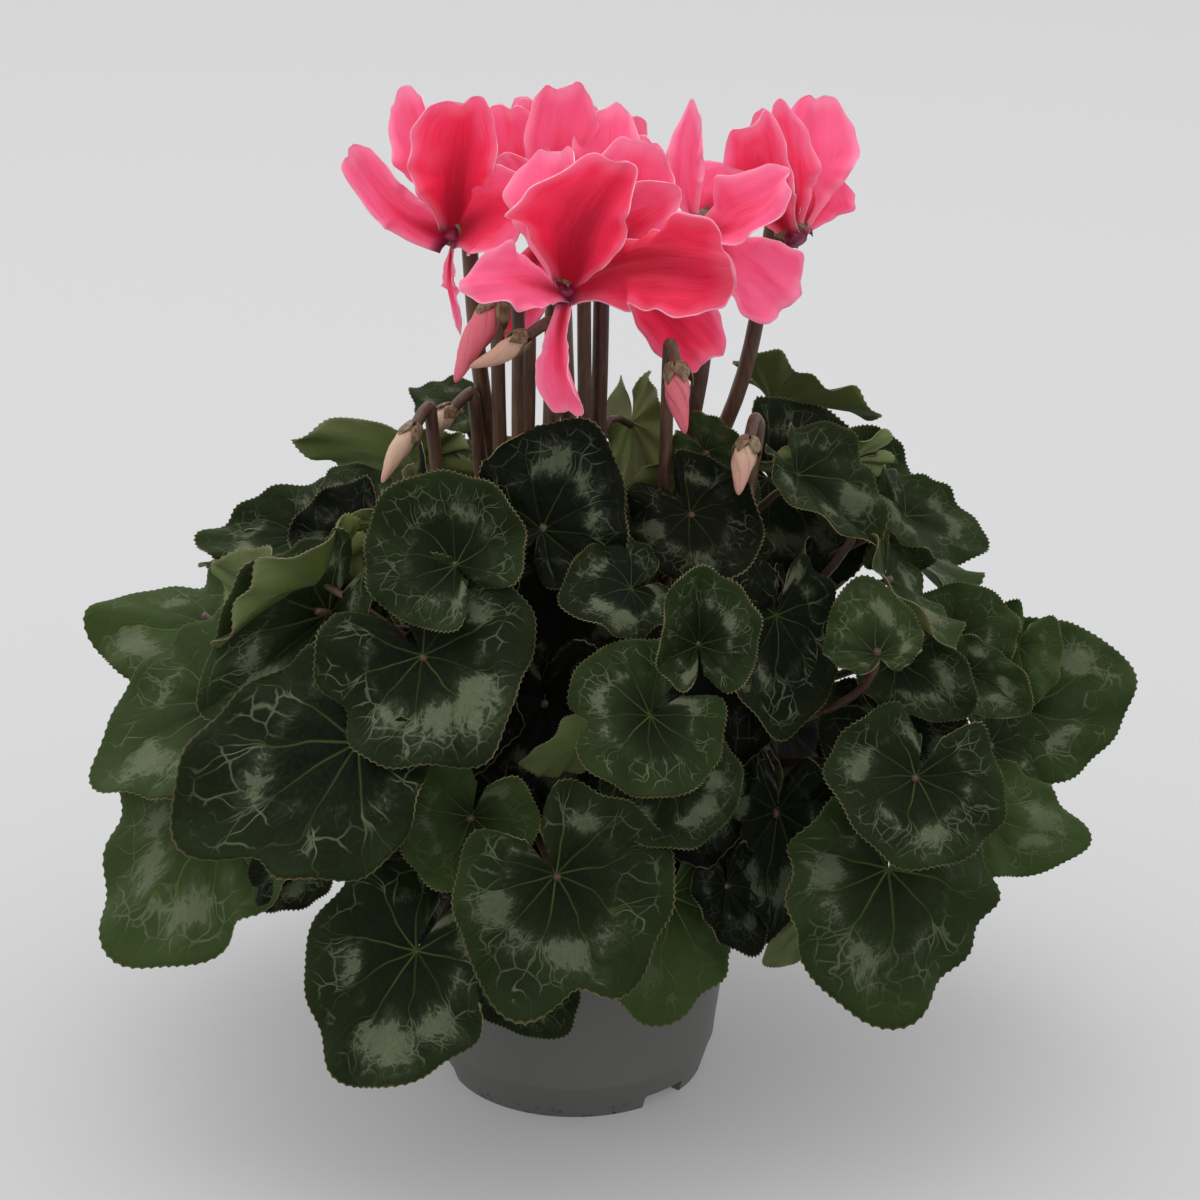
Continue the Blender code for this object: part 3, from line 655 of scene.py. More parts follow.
# leaves
# heart, tip, look of the upper face, width, lobe reach, cup
leafRows = {
    "leaf_01": ((-5, -123, 134), (18, -133, 95), (-3, 30), 1.05, 0.76, 0.10),
    "leaf_02": ((-53, -113, 101), (-80, -124, 58), (-20, 20), 0.88, 0.74, 0.06),
    "leaf_03": ((33, -88, 110), (31, -103, 66), (25, 10), 0.92, 0.70, 0.08),
    "leaf_04": ((108, -81, 117), (111, -98, 65), (25, 20), 1.06, 0.66, 0.08),
    "leaf_05": ((-121, -58, 127), (-160, -72, 77), (-35, 20), 0.85, 0.70, 0.06),
    "leaf_06": ((71, -72, 134), (65, -88, 88), (-5, 12), 0.72, 0.62, 0.06),
    "leaf_07": ((142, -50, 124), (182, -44, 109), (40, 25), 0.72, 0.66, 0.06),
    "leaf_08": ((-71, -101, 172), (-132, -110, 138), (-22, 30), 0.85, 0.64, 0.08),
    "leaf_09": ((-50, -95, 202), (-27, -119, 175), (-8, 33), 1.12, 0.80, 0.12),
    "leaf_10": ((-123, -46, 164), (-168, -44, 135), (-50, 30), 0.95, 0.70, 0.06),
    "leaf_11": ((-134, 0, 181), (-176, 6, 162), (-60, 45), 0.80, 0.62, 0.05),
    "leaf_12": ((-107, -34, 195), (-130, -22, 203), (-155, 22), 0.95, 0.78, 0.10),
    "leaf_13": ((-99, 20, 205), (-137, 28, 197), (-30, 45), 0.66, 0.70, 0.10),
    "leaf_14": ((-87, -62, 206), (-126, -72, 168), (-25, 35), 0.58, 0.66, 0.00),
    "leaf_15": ((26, -117, 189), (4, -133, 174), (5, 33), 1.10, 0.80, 0.10),
    "leaf_16": ((32, -104, 161), (41, -114, 140), (15, 25), 1.15, 0.85, 0.10),
    "leaf_17": ((-34, -104, 147), (-45, -114, 124), (-10, 20), 1.08, 0.82, 0.15),
    "leaf_18": ((118, -86, 154), (111, -104, 128), (20, 25), 1.22, 0.82, 0.08),
    "leaf_19": ((160, -10, 148), (204, 0, 158), (40, 30), 0.90, 0.72, 0.05),
    "leaf_20": ((150, -28, 141), (175, -22, 129), (40, 30), 0.85, 0.74, 0.06),
    "leaf_21": ((133, -32, 183), (157, -26, 188), (30, 30), 0.85, 0.86, 0.12),
    "leaf_22": ((103, -86, 199), (97, -68, 218), (0, 35), 1.15, 0.50, 0.12),
    "leaf_23": ((111, -42, 211), (128, -66, 190), (70, 35), 0.55, 0.72, 0.20),
    "leaf_24": ((70, -56, 201), (71, -80, 166), (30, 30), 0.80, 0.70, 0.05),
    "leaf_34": ((106, -40, 145), (96, -28, 166), (0, 35), 0.92, 0.76, 0.05),
    "leaf_25": ((-39, -82, 229), (-60, -66, 250), (-12, 32), 1.00, 0.80, 0.25),
    "leaf_26": ((-10, -72, 238), (6, -58, 270), (0, 25), 1.04, 0.64, 0.12),
    "leaf_27": ((20, -86, 222), (-3, -101, 221), (0, 40), 0.92, 0.70, 0.10),
    "leaf_28": ((42, -110, 211), (42, -100, 235), (10, 20), 0.88, 0.76, 0.25),
    "leaf_29": ((77, -32, 243), (103, -44, 221), (40, 50), 0.90, 0.58, 0.10),
    "leaf_30": ((98, 2, 229), (117, 14, 242), (30, 35), 0.95, 0.74, 0.08),
    "leaf_31": ((74, 46, 249), (110, 34, 240), (180, 60), 0.95, 0.62, 0.10),
    "leaf_32": ((-58, 38, 227), (-104, 42, 227), (-165, 22), 0.52, 0.66, 0.10),
    "leaf_33": ((117, -16, 223), (143, -14, 207), (40, 45), 0.80, 0.70, 0.10),
    "leaf_35": ((144, 44, 118), (182, 54, 86), (102, 35), 0.85, 0.72, 0.06),
    "leaf_36": ((98, 98, 134), (130, 126, 100), (132, 35), 0.85, 0.70, 0.06),
    "leaf_37": ((44, 130, 132), (54, 166, 94), (163, 35), 0.92, 0.72, 0.06),
    "leaf_38": ((-20, 130, 122), (-26, 164, 82), (190, 35), 0.95, 0.72, 0.06),
    "leaf_39": ((-78, 110, 134), (-102, 142, 98), (214, 35), 1.00, 0.72, 0.06),
    "leaf_40": ((-130, 58, 122), (-166, 76, 86), (245, 35), 1.00, 0.74, 0.06),
    "leaf_41": ((112, 52, 188), (148, 74, 166), (118, 45), 1.05, 0.76, 0.08),
    "leaf_42": ((56, 96, 200), (76, 134, 176), (152, 45), 1.10, 0.78, 0.10),
    "leaf_43": ((-30, 98, 204), (-42, 138, 182), (196, 45), 1.10, 0.78, 0.10),
    "leaf_44": ((-104, 58, 190), (-136, 84, 168), (235, 45), 1.00, 0.76, 0.08),
}
# small and inner leaves that the frame leaves out
innerLeafRows = {
    "innerLeaf_01": ((113, 0, 212), (135, 10, 219), (20, 40), 0.95, 0.74, 0.10),
    "innerLeaf_02": ((-94, -80, 123), (-106, -88, 104), (-25, 25), 0.95, 0.74, 0.08),
    "innerLeaf_03": ((-75, 10, 219), (-88, 22, 228), (-20, 35), 0.85, 0.74, 0.08),
    "innerLeaf_04": ((-42, 50, 243), (-60, 60, 245), (0, 60), 0.90, 0.72, 0.08),
    "innerLeaf_05": ((160, -10, 172), (150, -22, 150), (12, 30), 0.90, 0.70, 0.10),
    "innerLeaf_06": ((4, -96, 171), (-14, -106, 164), (-170, 20), 0.80, 0.70, 0.10),
    "innerLeaf_07": ((-22, -88, 83), (-2, -100, 63), (0, 10), 0.85, 0.72, 0.10),
    "innerLeaf_08": ((88, -60, 92), (68, -66, 70), (170, 10), 0.45, 0.72, 0.10),
    "innerLeaf_09": ((54, -84, 112), (60, -92, 90), (30, 10), 0.85, 0.72, 0.10),
    "innerLeaf_10": ((21, 10, 250), (24, -6, 220), (170, 40), 0.50, 0.72, 0.15),
    "innerLeaf_11": ((57, -40, 212), (34, -34, 210), (0, 45), 0.95, 0.72, 0.08),
    "innerLeaf_12": ((98, -2, 240), (66, -8, 236), (175, 25), 0.42, 0.70, 0.10),
    "innerLeaf_13": ((46, -30, 252), (62, -34, 234), (10, 30), 0.70, 0.72, 0.10),
    "innerLeaf_14": ((112, -60, 186), (137, -62, 168), (10, 25), 0.80, 0.70, 0.12),
    "innerLeaf_15": ((138, -46, 176), (160, -52, 164), (-6, 35), 0.70, 0.70, 0.12),
    "innerLeaf_16": ((-68, -30, 226), (-90, -34, 216), (-165, 25), 0.40, 0.70, 0.10),
    "innerLeaf_17": ((-86, -54, 214), (-120, -68, 192), (-160, 38), 0.62, 0.70, 0.15),
    "innerLeaf_18": ((40, -48, 236), (58, -70, 219), (0, 25), 0.95, 0.70, 0.08),
    "innerLeaf_20": ((70, 12, 228), (99, -5, 197), (5, 30), 1.05, 0.70, 0.08),
    "innerLeaf_21": ((108, -58, 162), (134, -60, 138), (10, 15), 1.00, 0.70, 0.08),
    "innerLeaf_22": ((-72, -24, 218), (-88, -46, 192), (-5, 20), 1.00, 0.70, 0.08),
    "innerLeaf_19": ((42, -20, 243), (17, -30, 230), (175, 25), 0.60, 0.70, 0.10),
}
leafShape = dict(
    sectors=288, rings=(0, 0.06, 0.17, 0.30, 0.43, 0.56, 0.68, 0.79, 0.88, 0.95, 1.0),
    innerSectors=144, innerRings=(0, 0.08, 0.30, 0.55, 0.80, 1.0),
    spread=math.radians(171), teeth=96, toothDepth=0.7, thickness=0.34, lumps=0.036,
    stalkFoot=2.0, stalkTop=1.35, stalkSteps=16,
)
# tone (0 near black, 1 fresh green, and below 0 darker still: painted shade for leaves that sit in
# shade), silver,
# and touches to the shape: outline (middle, spread, amount) and rolls (direction, start, turn)
sag = (180, 0.0, -45)
leafTouches = {
    "leaf_01": dict(tone=0.30, silver=0.8, outline=((-50, 16, 0.26), (-17, 10, -0.12))),
    "leaf_02": dict(tone=0.28, silver=1.1, outline=((140, 30, -0.2),),
                    rolls=(sag, (128, 0.45, 150))),
    "leaf_03": dict(tone=0.74, silver=0.2, rolls=((180, 0.0, -25),)),
    "leaf_04": dict(tone=0.38, silver=0.8, outline=((-14, 10, 0.03), (22, 14, -0.06)),
                    rolls=((180, 0.0, -20),)),
    "leaf_05": dict(tone=0.80, silver=1.8, wave=0.08, rolls=(sag,)),
    "leaf_06": dict(tone=-0.1, silver=0.5),
    "leaf_07": dict(tone=0.70, silver=0.6),
    "leaf_08": dict(tone=0.20, silver=1.3,
                    outline=((22, 12, -0.14), (125, 35, -0.22), (70, 20, 0.05))),
    "leaf_09": dict(tone=0.20, silver=1.1, outline=(
        (0, 10, 0.08), (-28, 12, -0.05), (-49, 10, 0.03), (-88, 16, -0.18), (35, 14, -0.04),
    )),
    "leaf_10": dict(tone=0.58, silver=0.9),
    "leaf_11": dict(tone=0.85, silver=1.3, wave=0.10, waves=4),
    "leaf_12": dict(tone=0.5, silver=0.5, wave=0.10, quilt=0.05),
    "leaf_13": dict(tone=0.34, silver=1.0),
    "leaf_14": dict(tone=0.34, silver=1.8, keel=0.30, wave=0.06),
    "leaf_15": dict(tone=0.40, silver=1.0, outline=((-33, 11, -0.30),)),
    "leaf_16": dict(tone=0.26, silver=0.8),
    "leaf_17": dict(tone=0.62, silver=0.5, lift=0.45, keel=0.15),
    "leaf_18": dict(tone=0.30, silver=0.9, lift=0.35),
    "leaf_19": dict(tone=0.50, silver=0.9, wave=0.06), "leaf_20": dict(tone=0.36, silver=0.9),
    "leaf_21": dict(tone=0.45, silver=0.9, lift=0.4),
    "leaf_22": dict(tone=0.45, silver=0.9, wave=0.07, lift=0.5),
    "leaf_24": dict(tone=0.10, silver=1.0),
    "leaf_25": dict(tone=0.28, silver=0.9, wave=0.05, keel=0.18),
    "leaf_26": dict(tone=-0.15, silver=0.7, wave=0.06, rolls=((58, 0.78, 130),),
                    outline=((48, 16, 0.20), (-95, 25, 0.10), (105, 20, 0.1))),
    "leaf_27": dict(tone=0.16, silver=1.0, wave=0.07),
    "leaf_28": dict(tone=0.34, silver=1.6, outline=((70, 25, -0.22),), keel=0.45, wave=0.10),
    "leaf_29": dict(tone=0.30, silver=0.7, keel=0.5), "leaf_30": dict(tone=0.35, keel=0.2),
    "leaf_31": dict(tone=0.4, keel=0.2), "leaf_33": dict(tone=0.35, keel=0.3),
    "leaf_34": dict(tone=0.12), "leaf_23": dict(tone=0.5),
    "innerLeaf_03": dict(tone=0.3), "innerLeaf_04": dict(tone=0.4), "innerLeaf_02": dict(tone=0.08),
    "innerLeaf_09": dict(tone=-0.2, silver=0.3),
    "innerLeaf_18": dict(tone=-0.1, silver=0.6, wave=0.1),
    "innerLeaf_05": dict(tone=0.75, silver=0.6), "innerLeaf_15": dict(tone=0.45, silver=1.0),
    "innerLeaf_22": dict(tone=-0.3, silver=0.3),
    "innerLeaf_20": dict(tone=0.1, silver=0.6), "innerLeaf_21": dict(tone=0.1, silver=0.5),
    "innerLeaf_13": dict(tone=0.5, silver=0.2),
}


def bladeReach(angles, lobe):
    point = np.exp(-((angles / math.radians(28)) ** 2))
    reach = lobe + (1 - lobe) * (0.4 * np.cos(angles) + 0.6 * point)
    return reach * (1 - 0.45 * ease(math.radians(150), math.radians(171), np.abs(angles)))


def makeLeafMaster(name, sectors, ringShares):
    shape = leafShape
    rings = len(ringShares) - 1
    bpy.ops.mesh.primitive_grid_add(x_subdivisions=sectors, y_subdivisions=rings, size=2)
    master = bpy.context.object
    master.name = name
    flat = readPoints(master.data)
    angles = flat[:, 0] * shape["spread"]
    shares = np.interp((flat[:, 1] + 1) / 2, np.linspace(0, 1, rings + 1), ringShares)
    addNote(master.data, "leafPolar", np.stack([angles, shares, flat[:, 0]], 1))
    radial = np.stack([shares * np.cos(angles), shares * np.sin(angles), 0 * shares], 1)
    writePoints(master.data, radial)
    mend(master, 1e-5)
    bpy.ops.object.shade_smooth()
    if master.data.polygons[0].normal.z < 0:
        master.data.flip_normals()
    return master


def bladePoints(polar, row, touches, rng):
    heart, tip, facing, width, lobe, cup = row
    length = (Vector(tip) - Vector(heart)).length
    angles, shares = polar[:, 0], polar[:, 1]
    tooth = np.abs((angles / leafShape["spread"] * leafShape["teeth"] / 2) % 1 - 0.35)
    tooth = np.clip(1 - tooth * 2.6, 0, 1) * ease(0.95, 1.0, shares)
    scallop = 1 + 0.018 * np.cos(10 * angles) + 0.012 * np.sin(3 * angles + rng.uniform(0, 6))
    reach = bladeReach(angles, lobe) * shares
    bumps = [
        (rng.uniform(-150, 150), rng.uniform(8, 26), rng.uniform(-0.08, 0.05)) for _ in range(4)
    ]
    for middle, spread, amount in (*bumps, *touches.get("outline", ())):
        scallop += amount * np.exp(-(((np.degrees(angles) - middle) / spread) ** 2))
    reach = reach * (1 + (scallop - 1) * shares**2)
    reach = reach + tooth * leafShape["toothDepth"] / length * rng.uniform(0.8, 1.1)
    x, y = reach * np.cos(angles), reach * np.sin(angles)
    height = cup * reach**2
    quilt = touches.get("quilt", 0.030)
    height += quilt * (1 - np.cos(10 * angles)) / 2 * np.sin(math.pi * shares**0.8) * shares
    lift = touches.get("lift", 0.20)
    back = ease(math.radians(95), math.radians(171), np.abs(angles))
    height += lift * back * reach * (1 + 0.25 * np.sign(angles))
    height -= 0.05 * np.exp(-((reach / 0.16) ** 2))
    wave = touches.get("wave", 0.065)
    phase, phase2 = rng.uniform(0, 2 * math.pi, 2)
    count = touches.get("waves", 5)
    waves = np.sin(count * angles + phase) + 0.5 * np.sin((2 * count + 1) * angles + phase2)
    height += wave * shares**3 * waves
    height += 0.020 * shares**6 * np.sin(13 * angles + phase * 2 + phase2)
    for _ in range(4):
        turn, offset = rng.uniform(0, 2 * math.pi, 2)
        speed = rng.uniform(2.0, 5.0)
        run = x * math.cos(turn) + y * math.sin(turn)
        height += leafShape["lumps"] * np.sin(run * speed + offset)
    height += touches.get("keel", 0.0) * np.abs(y)
    points = np.stack([x * length, y * length * width, height * length], 1)
    for direction, start, turn in touches.get("rolls", ()):
        points = rolled(points, math.radians(direction), start * length, math.radians(turn))
    notes = np.stack([x, y, shares], 1)
    return placed(points, heart, sheetFrame(heart, tip, facing)), notes


def makeLeaf(name, row, touches, slot, master, finishes, rng):
    leaf = copyOf(master, name)
    points, notes = bladePoints(readNote(leaf.data, "leafPolar"), row, touches, rng)
    writePoints(leaf.data, points)
    addNote(leaf.data, "leafPlace", notes)
    tone = touches.get("tone", rng.uniform(0.12, 0.6))
    silver = touches.get("silver", rng.uniform(0.6, 1.1))
    addNote(leaf.data, "leafSort", np.tile([tone, silver, rng.uniform(0, 9)], (len(points), 1)))
    leaf.data.attributes.remove(leaf.data.attributes["leafPolar"])
    for finish in finishes[:3]:
        leaf.data.materials.append(finish)
    giveWall(leaf, leafShape["thickness"], under=1, rim=2)

    heart, tip, facing = row[:3]
    along, _, out = sheetFrame(heart, tip, facing)
    start, heading = slot
    arrival = (out * 0.8 + along * 0.25).normalized()
    end = Vector(heart) + along * 1.2 - out * 1.0
    reach = (end - start).length
    path = bezier(start, start + heading * reach * 0.4, end - arrival * reach * 0.35, end,
                  leafShape["stalkSteps"])
    foot, top = leafShape["stalkFoot"], leafShape["stalkTop"]
    radii = [foot + (top - foot) * i / (len(path) - 1) for i in range(len(path))]
    stalk = makeTube(name + "_stalk", path, radii, finishes[3])
    return joinPieces(leaf, stalk)


# leaves deep inside, painted near black for the shade they sit in: height, distance from the axis, how
# many round it, length
innerTiers = ((118, 74, 10, 40), (150, 84, 11, 42), (184, 80, 10, 42), (214, 58, 8, 40))


def innerTierRows():
    rows = {}
    rng = np.random.default_rng(seeds["tiers"])
    for height, away, count, length in innerTiers:
        for step in range(count):
            turn = (step + rng.uniform(-0.25, 0.25)) * 360 / count
            side = Vector(lookDirection(turn, 0))
            heart = side * away + Vector((0, 0, height + rng.uniform(-6, 6)))
            tip = heart + side * length * 0.25 + Vector((0, 0, -length * rng.uniform(0.75, 0.95)))
            name = f"innerTier_{len(rows) + 1:02d}"
            rows[name] = (tuple(heart), tuple(tip), (turn, 25), 1.0, 0.76, 0.08)
    return rows


def makeLeaves():
    master = makeLeafMaster("leafMaster", leafShape["sectors"], leafShape["rings"])
    innerMaster = makeLeafMaster("innerMaster", leafShape["innerSectors"], leafShape["innerRings"])
    finishes = (
        makeLeafTop(), makeLeafUnder(), makeSpotted("leafMargin"),
        makeStalkSkin("leafStalk", **leafStalkLook),
    )
    slots = crownSlots({name: Vector(row[0]) for name, row in leafRows.items()}, crown["leafRings"])
    tierRows = innerTierRows()
    for number, (name, row) in enumerate({**leafRows, **innerLeafRows, **tierRows}.items()):
        rng = np.random.default_rng(seeds["leaves"] + number)
        own = name in leafRows
        if own:
            slot = slots[name]
        else:
            slot = crownPoint(crown["innerRing"], math.atan2(row[0][0], -row[0][1]))
        touches = leafTouches.get(name, {})
        # the tier leaves' tone of -0.8 is painted shade: near black, for the shade deep in the plant
        if name in tierRows:
            touches = dict(tone=-0.8, silver=0.4)
        leaf = makeLeaf(name.replace("leaf_", "leafBlade_"), row, touches, slot,
                        innerMaster if name in tierRows else master, finishes, rng)
        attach(leaf, "root")
        if own:
            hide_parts(name)
    bpy.data.objects.remove(master)
    bpy.data.objects.remove(innerMaster)


# flowers
# mouth, look of the mouth, petals: tip, look of the inner face, width, and touches to the shape
flowerRows = {
    "flower_1": ((-41, -25, 325), (-20, -50), (
        ((-74, -34, 359), (-30, 35), 15, dict(twist=18, bend=0.10, widest=0.70, tone=0.12, claw=0.9,
                                             point=0.32)),
        ((-56, -20, 376), (-20, 10), 22, dict(twist=-20, skew=0.1, tone=0.15, bend=-0.05, widest=0.70)),
        ((-36, -36, 378), (12, 15), 31, dict(skew=0.22, tone=0.72, cup=0.32, widest=0.68)),
        ((-12, -46, 345), (25, 35), 32, dict(tone=0.55, widest=0.62, cup=0.45, skew=-0.1)),
        ((-36, -32, 295), (-60, 0), 8, dict(widest=0.35, point=1.0, ruffle=0.04, tone=0.3)),
    )),
    "flower_2": ((-1, -62, 315), (10, -40), (
        ((-36, -88, 324), (-10, 42), 25, dict(widest=0.50, point=0.75, tone=0.10, cup=0.3, bend=-0.03)),
        ((-5, -46, 362), (-20, 10), 26, dict(tone=0.12, skew=0.2, widest=0.68)),
        ((18, -74, 365), (-8, 15), 34, dict(skew=0.25, tone=0.85, point=0.62, cup=0.5, ripple=0.12,
                                           widest=0.55, bend=0.04)),
        # this petal's deep red (tone 1.10) is partly its own colour and partly painted shade
        ((50, -97, 335), (5, 38), 34, dict(tone=1.10, skew=-0.05, widest=0.72, ripple=0.14, point=0.36,
                                          ruffle=0.07, cup=-0.12, bend=0.04)),
        ((1, -74, 279), (-40, 0), 16, dict(widest=0.80, tone=0.30, cup=0.6, bend=-0.04, claw=0.45,
                                         ruffle=0.02, ripple=0.03)),
    )),
    "flower_3": ((-9, -8, 322), (-10, -55), (
        ((-28, -27, 353), (-10, 30), 24, dict(twist=20, tone=0.15)),
        ((-23, -8, 369), (-20, 15), 24, dict(tone=0.20)),
        ((-3, -14, 378), (5, 15), 25, dict(tone=0.10, skew=-0.1, widest=0.68)),
        ((-14, -5, 370), (-5, 20), 22, dict(tone=0.15, twist=-20)),
        ((-23, -15, 288), (-20, 0), 22, dict(tone=0.5)),
    )),
    "flower_4": ((41, -38, 330), (-30, -40), (
        ((74, -58, 352), (0, 45), 27, dict(tone=0.15, cup=0.7, bend=-0.16, widest=0.60)),
        ((41, -30, 375), (-10, 10), 13, dict(tone=-0.25, widest=0.50, point=0.7, twist=35, bend=0.06)),
        ((56, -17, 348), (10, 30), 26, dict(tone=0.25)),
        ((74, -44, 309), (15, 20), 28, dict(tone=0.05, widest=0.78, point=0.34, cup=0.25)),
        ((46, -14, 304), (20, 10), 16, dict(tone=0.3)),
    )),
    "flower_5": ((78, 2, 318), (30, -45), (
        ((61, -16, 366), (-15, 15), 25, dict(tone=0.50, skew=0.1, cup=0.35, bend=0.05)),
        ((70, -5, 368), (10, 10), 20, dict(tone=0.35, point=0.6)),
        ((85, 16, 367), (10, 15), 26, dict(tone=0.02, skew=-0.2, widest=0.66)),
        ((86, 8, 345), (40, 10), 21, dict(tone=0.35, skew=-0.2, cup=0.4)),
        ((66, 30, 358), (160, 10), 24, dict(tone=0.2)),
    )),
    "flower_6": ((13, -24, 318), (10, -45), (
        ((13, -8, 368), (-10, 10), 24, dict(tone=0.15)),
        ((24, -42, 363), (0, 20), 33, dict(tone=0.20, cup=0.3, ripple=0.12)),
        ((33, -56, 347), (5, 30), 27, dict(tone=0.35, ripple=0.12, ruffle=0.06)),
        ((49, -32, 286), (10, 10), 26, dict(tone=0.70, widest=0.68, cup=-0.2)),
        ((25, 14, 352), (160, 10), 24, dict(tone=0.2)),
    )),
    "flower_7": ((-4, 44, 312), (180, -50), (
        ((-18, 32, 361), (0, 10), 24, dict(tone=0.15)),
        ((22, 37, 355), (20, 10), 24, dict(tone=0.10)),
        ((10, 60, 352), (180, 10), 27, dict(tone=0.3, twist=15)),
        ((26, 76, 336), (150, 20), 28, dict(tone=0.3, twist=-15)),
        ((-30, 72, 334), (210, 20), 28, dict(tone=0.3, cup=0.4)),
    )),
}
# neck, heading, length, width, tone
budRows = {
    "bud_1": ((-24, -42, 309), (-40, -45), 33, 10.0, 0.85),
    "bud_2": ((-15, -54, 300), (-72, -24), 22, 7.0, 0.25),
    "bud_3": ((-54, -36, 263), (-38, -42), 24, 7.0, 0.20),
    "bud_4": ((-42, -16, 263), (-60, -35), 12, 7.0, 0.05),
    "bud_5": ((35, -50, 289), (15, -60), 24, 8.5, 0.80),
    "bud_6": ((60, -54, 264), (-20, -55), 20, 8.0, 0.30),
}
petalShape = dict(across=26, along=44, thickness=0.32, bow=0.10, cup=0.20, twist=0.0, bend=0.0,
                  ruffle=0.060, ruffles=2.3, widest=0.62, claw=0.26, skew=0.0, point=0.42,
                  ripple=0.07, fold=0.05)
flowerShape = dict(tubeLength=9.0, stalk=2.9, budStalk=2.2, bareStalk=2.8, stalkSteps=40,
                   calyxLobes=5, calyxLength=8.5, calyxWidth=11.5, calyxWall=0.4)


def makePetalMaster():
    bpy.ops.mesh.primitive_grid_add(
        x_subdivisions=petalShape["along"], y_subdivisions=petalShape["across"], size=2
    )
    master = bpy.context.object
    master.name = "petalMaster"
    bpy.ops.object.shade_smooth()
    return master


def petalPoints(flat, foot, tip, facing, width, touches, rng):
    look = {**petalShape, **touches}
    along, side = 1 - (1 - (flat[:, 0] + 1) / 2) ** 1.5, flat[:, 1]
    length = (Vector(tip) - Vector(foot)).length
    widest = look["widest"]
    beyond = np.clip((along - widest) / (1 - widest), 0, 1)
    half = np.where(
        along > widest,
        np.clip(1 - beyond**2, 0, 1) ** look["point"],
        look["claw"] + (1 - look["claw"]) * ease(0, widest, along),
    )
    phase = rng.uniform(0, 2 * math.pi, 10)
    ripple = np.sin(along * 13 + phase[0] + side * 2.5)
    ripple = ripple + 0.7 * np.sin(along * 29 + phase[1] - side * 2)
    half = half * (1 + look["ripple"] * 0.6 * ripple * ease(0.2, 0.6, along))
    over = side * half
    across = over * width / 2 * (1 + look["skew"] * np.sign(side))
    notch = 0.030 * np.cos(over * 6 + phase[2]) + 0.007 * np.cos(over * 15 + phase[3])
    x = along * length * (1 - notch * ease(0.7, 1, along))
    inside = np.minimum((1 - np.abs(side)) * half, (1 - along) * 1.6)
    rim = (1 - np.clip(inside / 0.6, 0, 1)) ** 1.6
    rise = ease(0.15, 0.6, along)
    around = np.arctan2(over * width / 2, (along - 0.45) * length)
    wobble = np.sin(around * look["ruffles"] * 1.7 + phase[4])
    wobble += 0.5 * np.sin(around * look["ruffles"] * 4.1 + phase[5])
    height = look["bow"] * length * np.sin(math.pi * along)
    height += look["cup"] * across**2 / (width / 2)
    height += look["ruffle"] * length * rim * rise * wobble
    height += 0.03 * length * ease(0.6, 1.0, along) * np.sin(over * 4 + phase[6])
    height += look["fold"] * length * 0.35 * half * np.exp(-((side / 0.16) ** 2)) * (1 - along)
    height += 0.006 * length * np.sin(over * 19 + along * 5 + phase[7]) * half * rise
    height += 0.012 * length * np.sin(over * 8 + along * 8 + phase[8]) * half
    bend = look["bend"] * length * np.sin(math.pi * along)
    twist = math.radians(look["twist"]) * ease(0.1, 1.0, along)
    y = across * np.cos(twist) + bend
    z = height + across * np.sin(twist)
    points = np.stack([x, y, z], 1)
    margin = np.minimum((1 - np.abs(side)) * half * width / length, (1 - along))
    return placed(points, foot, sheetFrame(foot, tip, facing)), np.stack([along, side, margin], 1)


def makePetal(name, foot, tip, facing, width, touches, master, finishes, rng):
    petal = copyOf(master, name)
    flat = readPoints(petal.data)
    points, notes = petalPoints(flat, foot, tip, facing, width, touches, rng)
    writePoints(petal.data, points)
    addNote(petal.data, "petalPlace", notes)
    tone = touches.get("tone", rng.uniform(0.2, 0.6))
    addNote(petal.data, "petalSort", np.tile([tone, rng.uniform(0, 9), 0], (len(points), 1)))
    petal.data.materials.append(finishes[0])
    petal.data.materials.append(finishes[1])
    mend(petal, 2e-5, outward=False)
    giveWall(petal, petalShape["thickness"], rim=1)
    return petal


def hookedPath(slot, neck, heading):
    start, rise = slot
    back = Vector((-heading.x, -heading.y, 0))
    back = back.normalized() if back.length > 0.05 else Vector((0, 1, 0))
    shoulder = neck + back * 9 - Vector((0, 0, 3))
    reach = (shoulder - start).length
    climb = bezier(start, start + rise * reach * 0.35,
                   shoulder - Vector((0, 0, reach * 0.35)), shoulder, 5)
    crook = bezier(shoulder, shoulder + Vector((0, 0, 12)), neck - heading * 8, neck, 4)
    return climb + crook[1:]


def makeHookedStalk(name, slot, neck, heading, radius, foot, taper, finishes):
    steps = flowerShape["stalkSteps"]
    path = smoothPath(hookedPath(slot, neck, heading), steps)
    radii = [radius * (foot - taper * i / (steps - 1)) for i in range(steps)]
    return makeTube(name + "_stalk", path, radii, finishes["stalk"])


def makeCalyx(name, neck, heading, length, width, master, finish, rng):
    lobes = []
    side = heading.orthogonal().normalized()
    across = heading.cross(side)
    for number in range(flowerShape["calyxLobes"]):
        turn = 2 * math.pi * number / flowerShape["calyxLobes"] + rng.uniform(-0.15, 0.15)
        outward = side * math.cos(turn) + across * math.sin(turn)
        lobe = copyOf(master, f"{name}_sepal_{number}")
        flat = readPoints(lobe.data)
        along, over = (flat[:, 0] + 1) / 2, flat[:, 1]
        half = np.where(along < 0.45, 0.75 + 0.25 * ease(0, 0.45, along),
                        1 - ease(0.40, 1.05, along))
        angle = over * half * math.radians(38)
        radius = width * (0.36 + 0.20 * np.sin(along * 2.2)) + 0.25 * along
        points = pointsAlong(neck, (heading, along * length), (outward, radius * np.cos(angle)),
                             (outward.cross(heading), radius * np.sin(angle)))
        writePoints(lobe.data, points * mm)
        addNote(lobe.data, "petalPlace", np.stack([along, over, half], 1))
        lobe.data.materials.append(finish)
        mend(lobe, 1e-5, outward=False)
        giveWall(lobe, flowerShape["calyxWall"], fine=False)
        lobes.append(lobe)
    return lobes


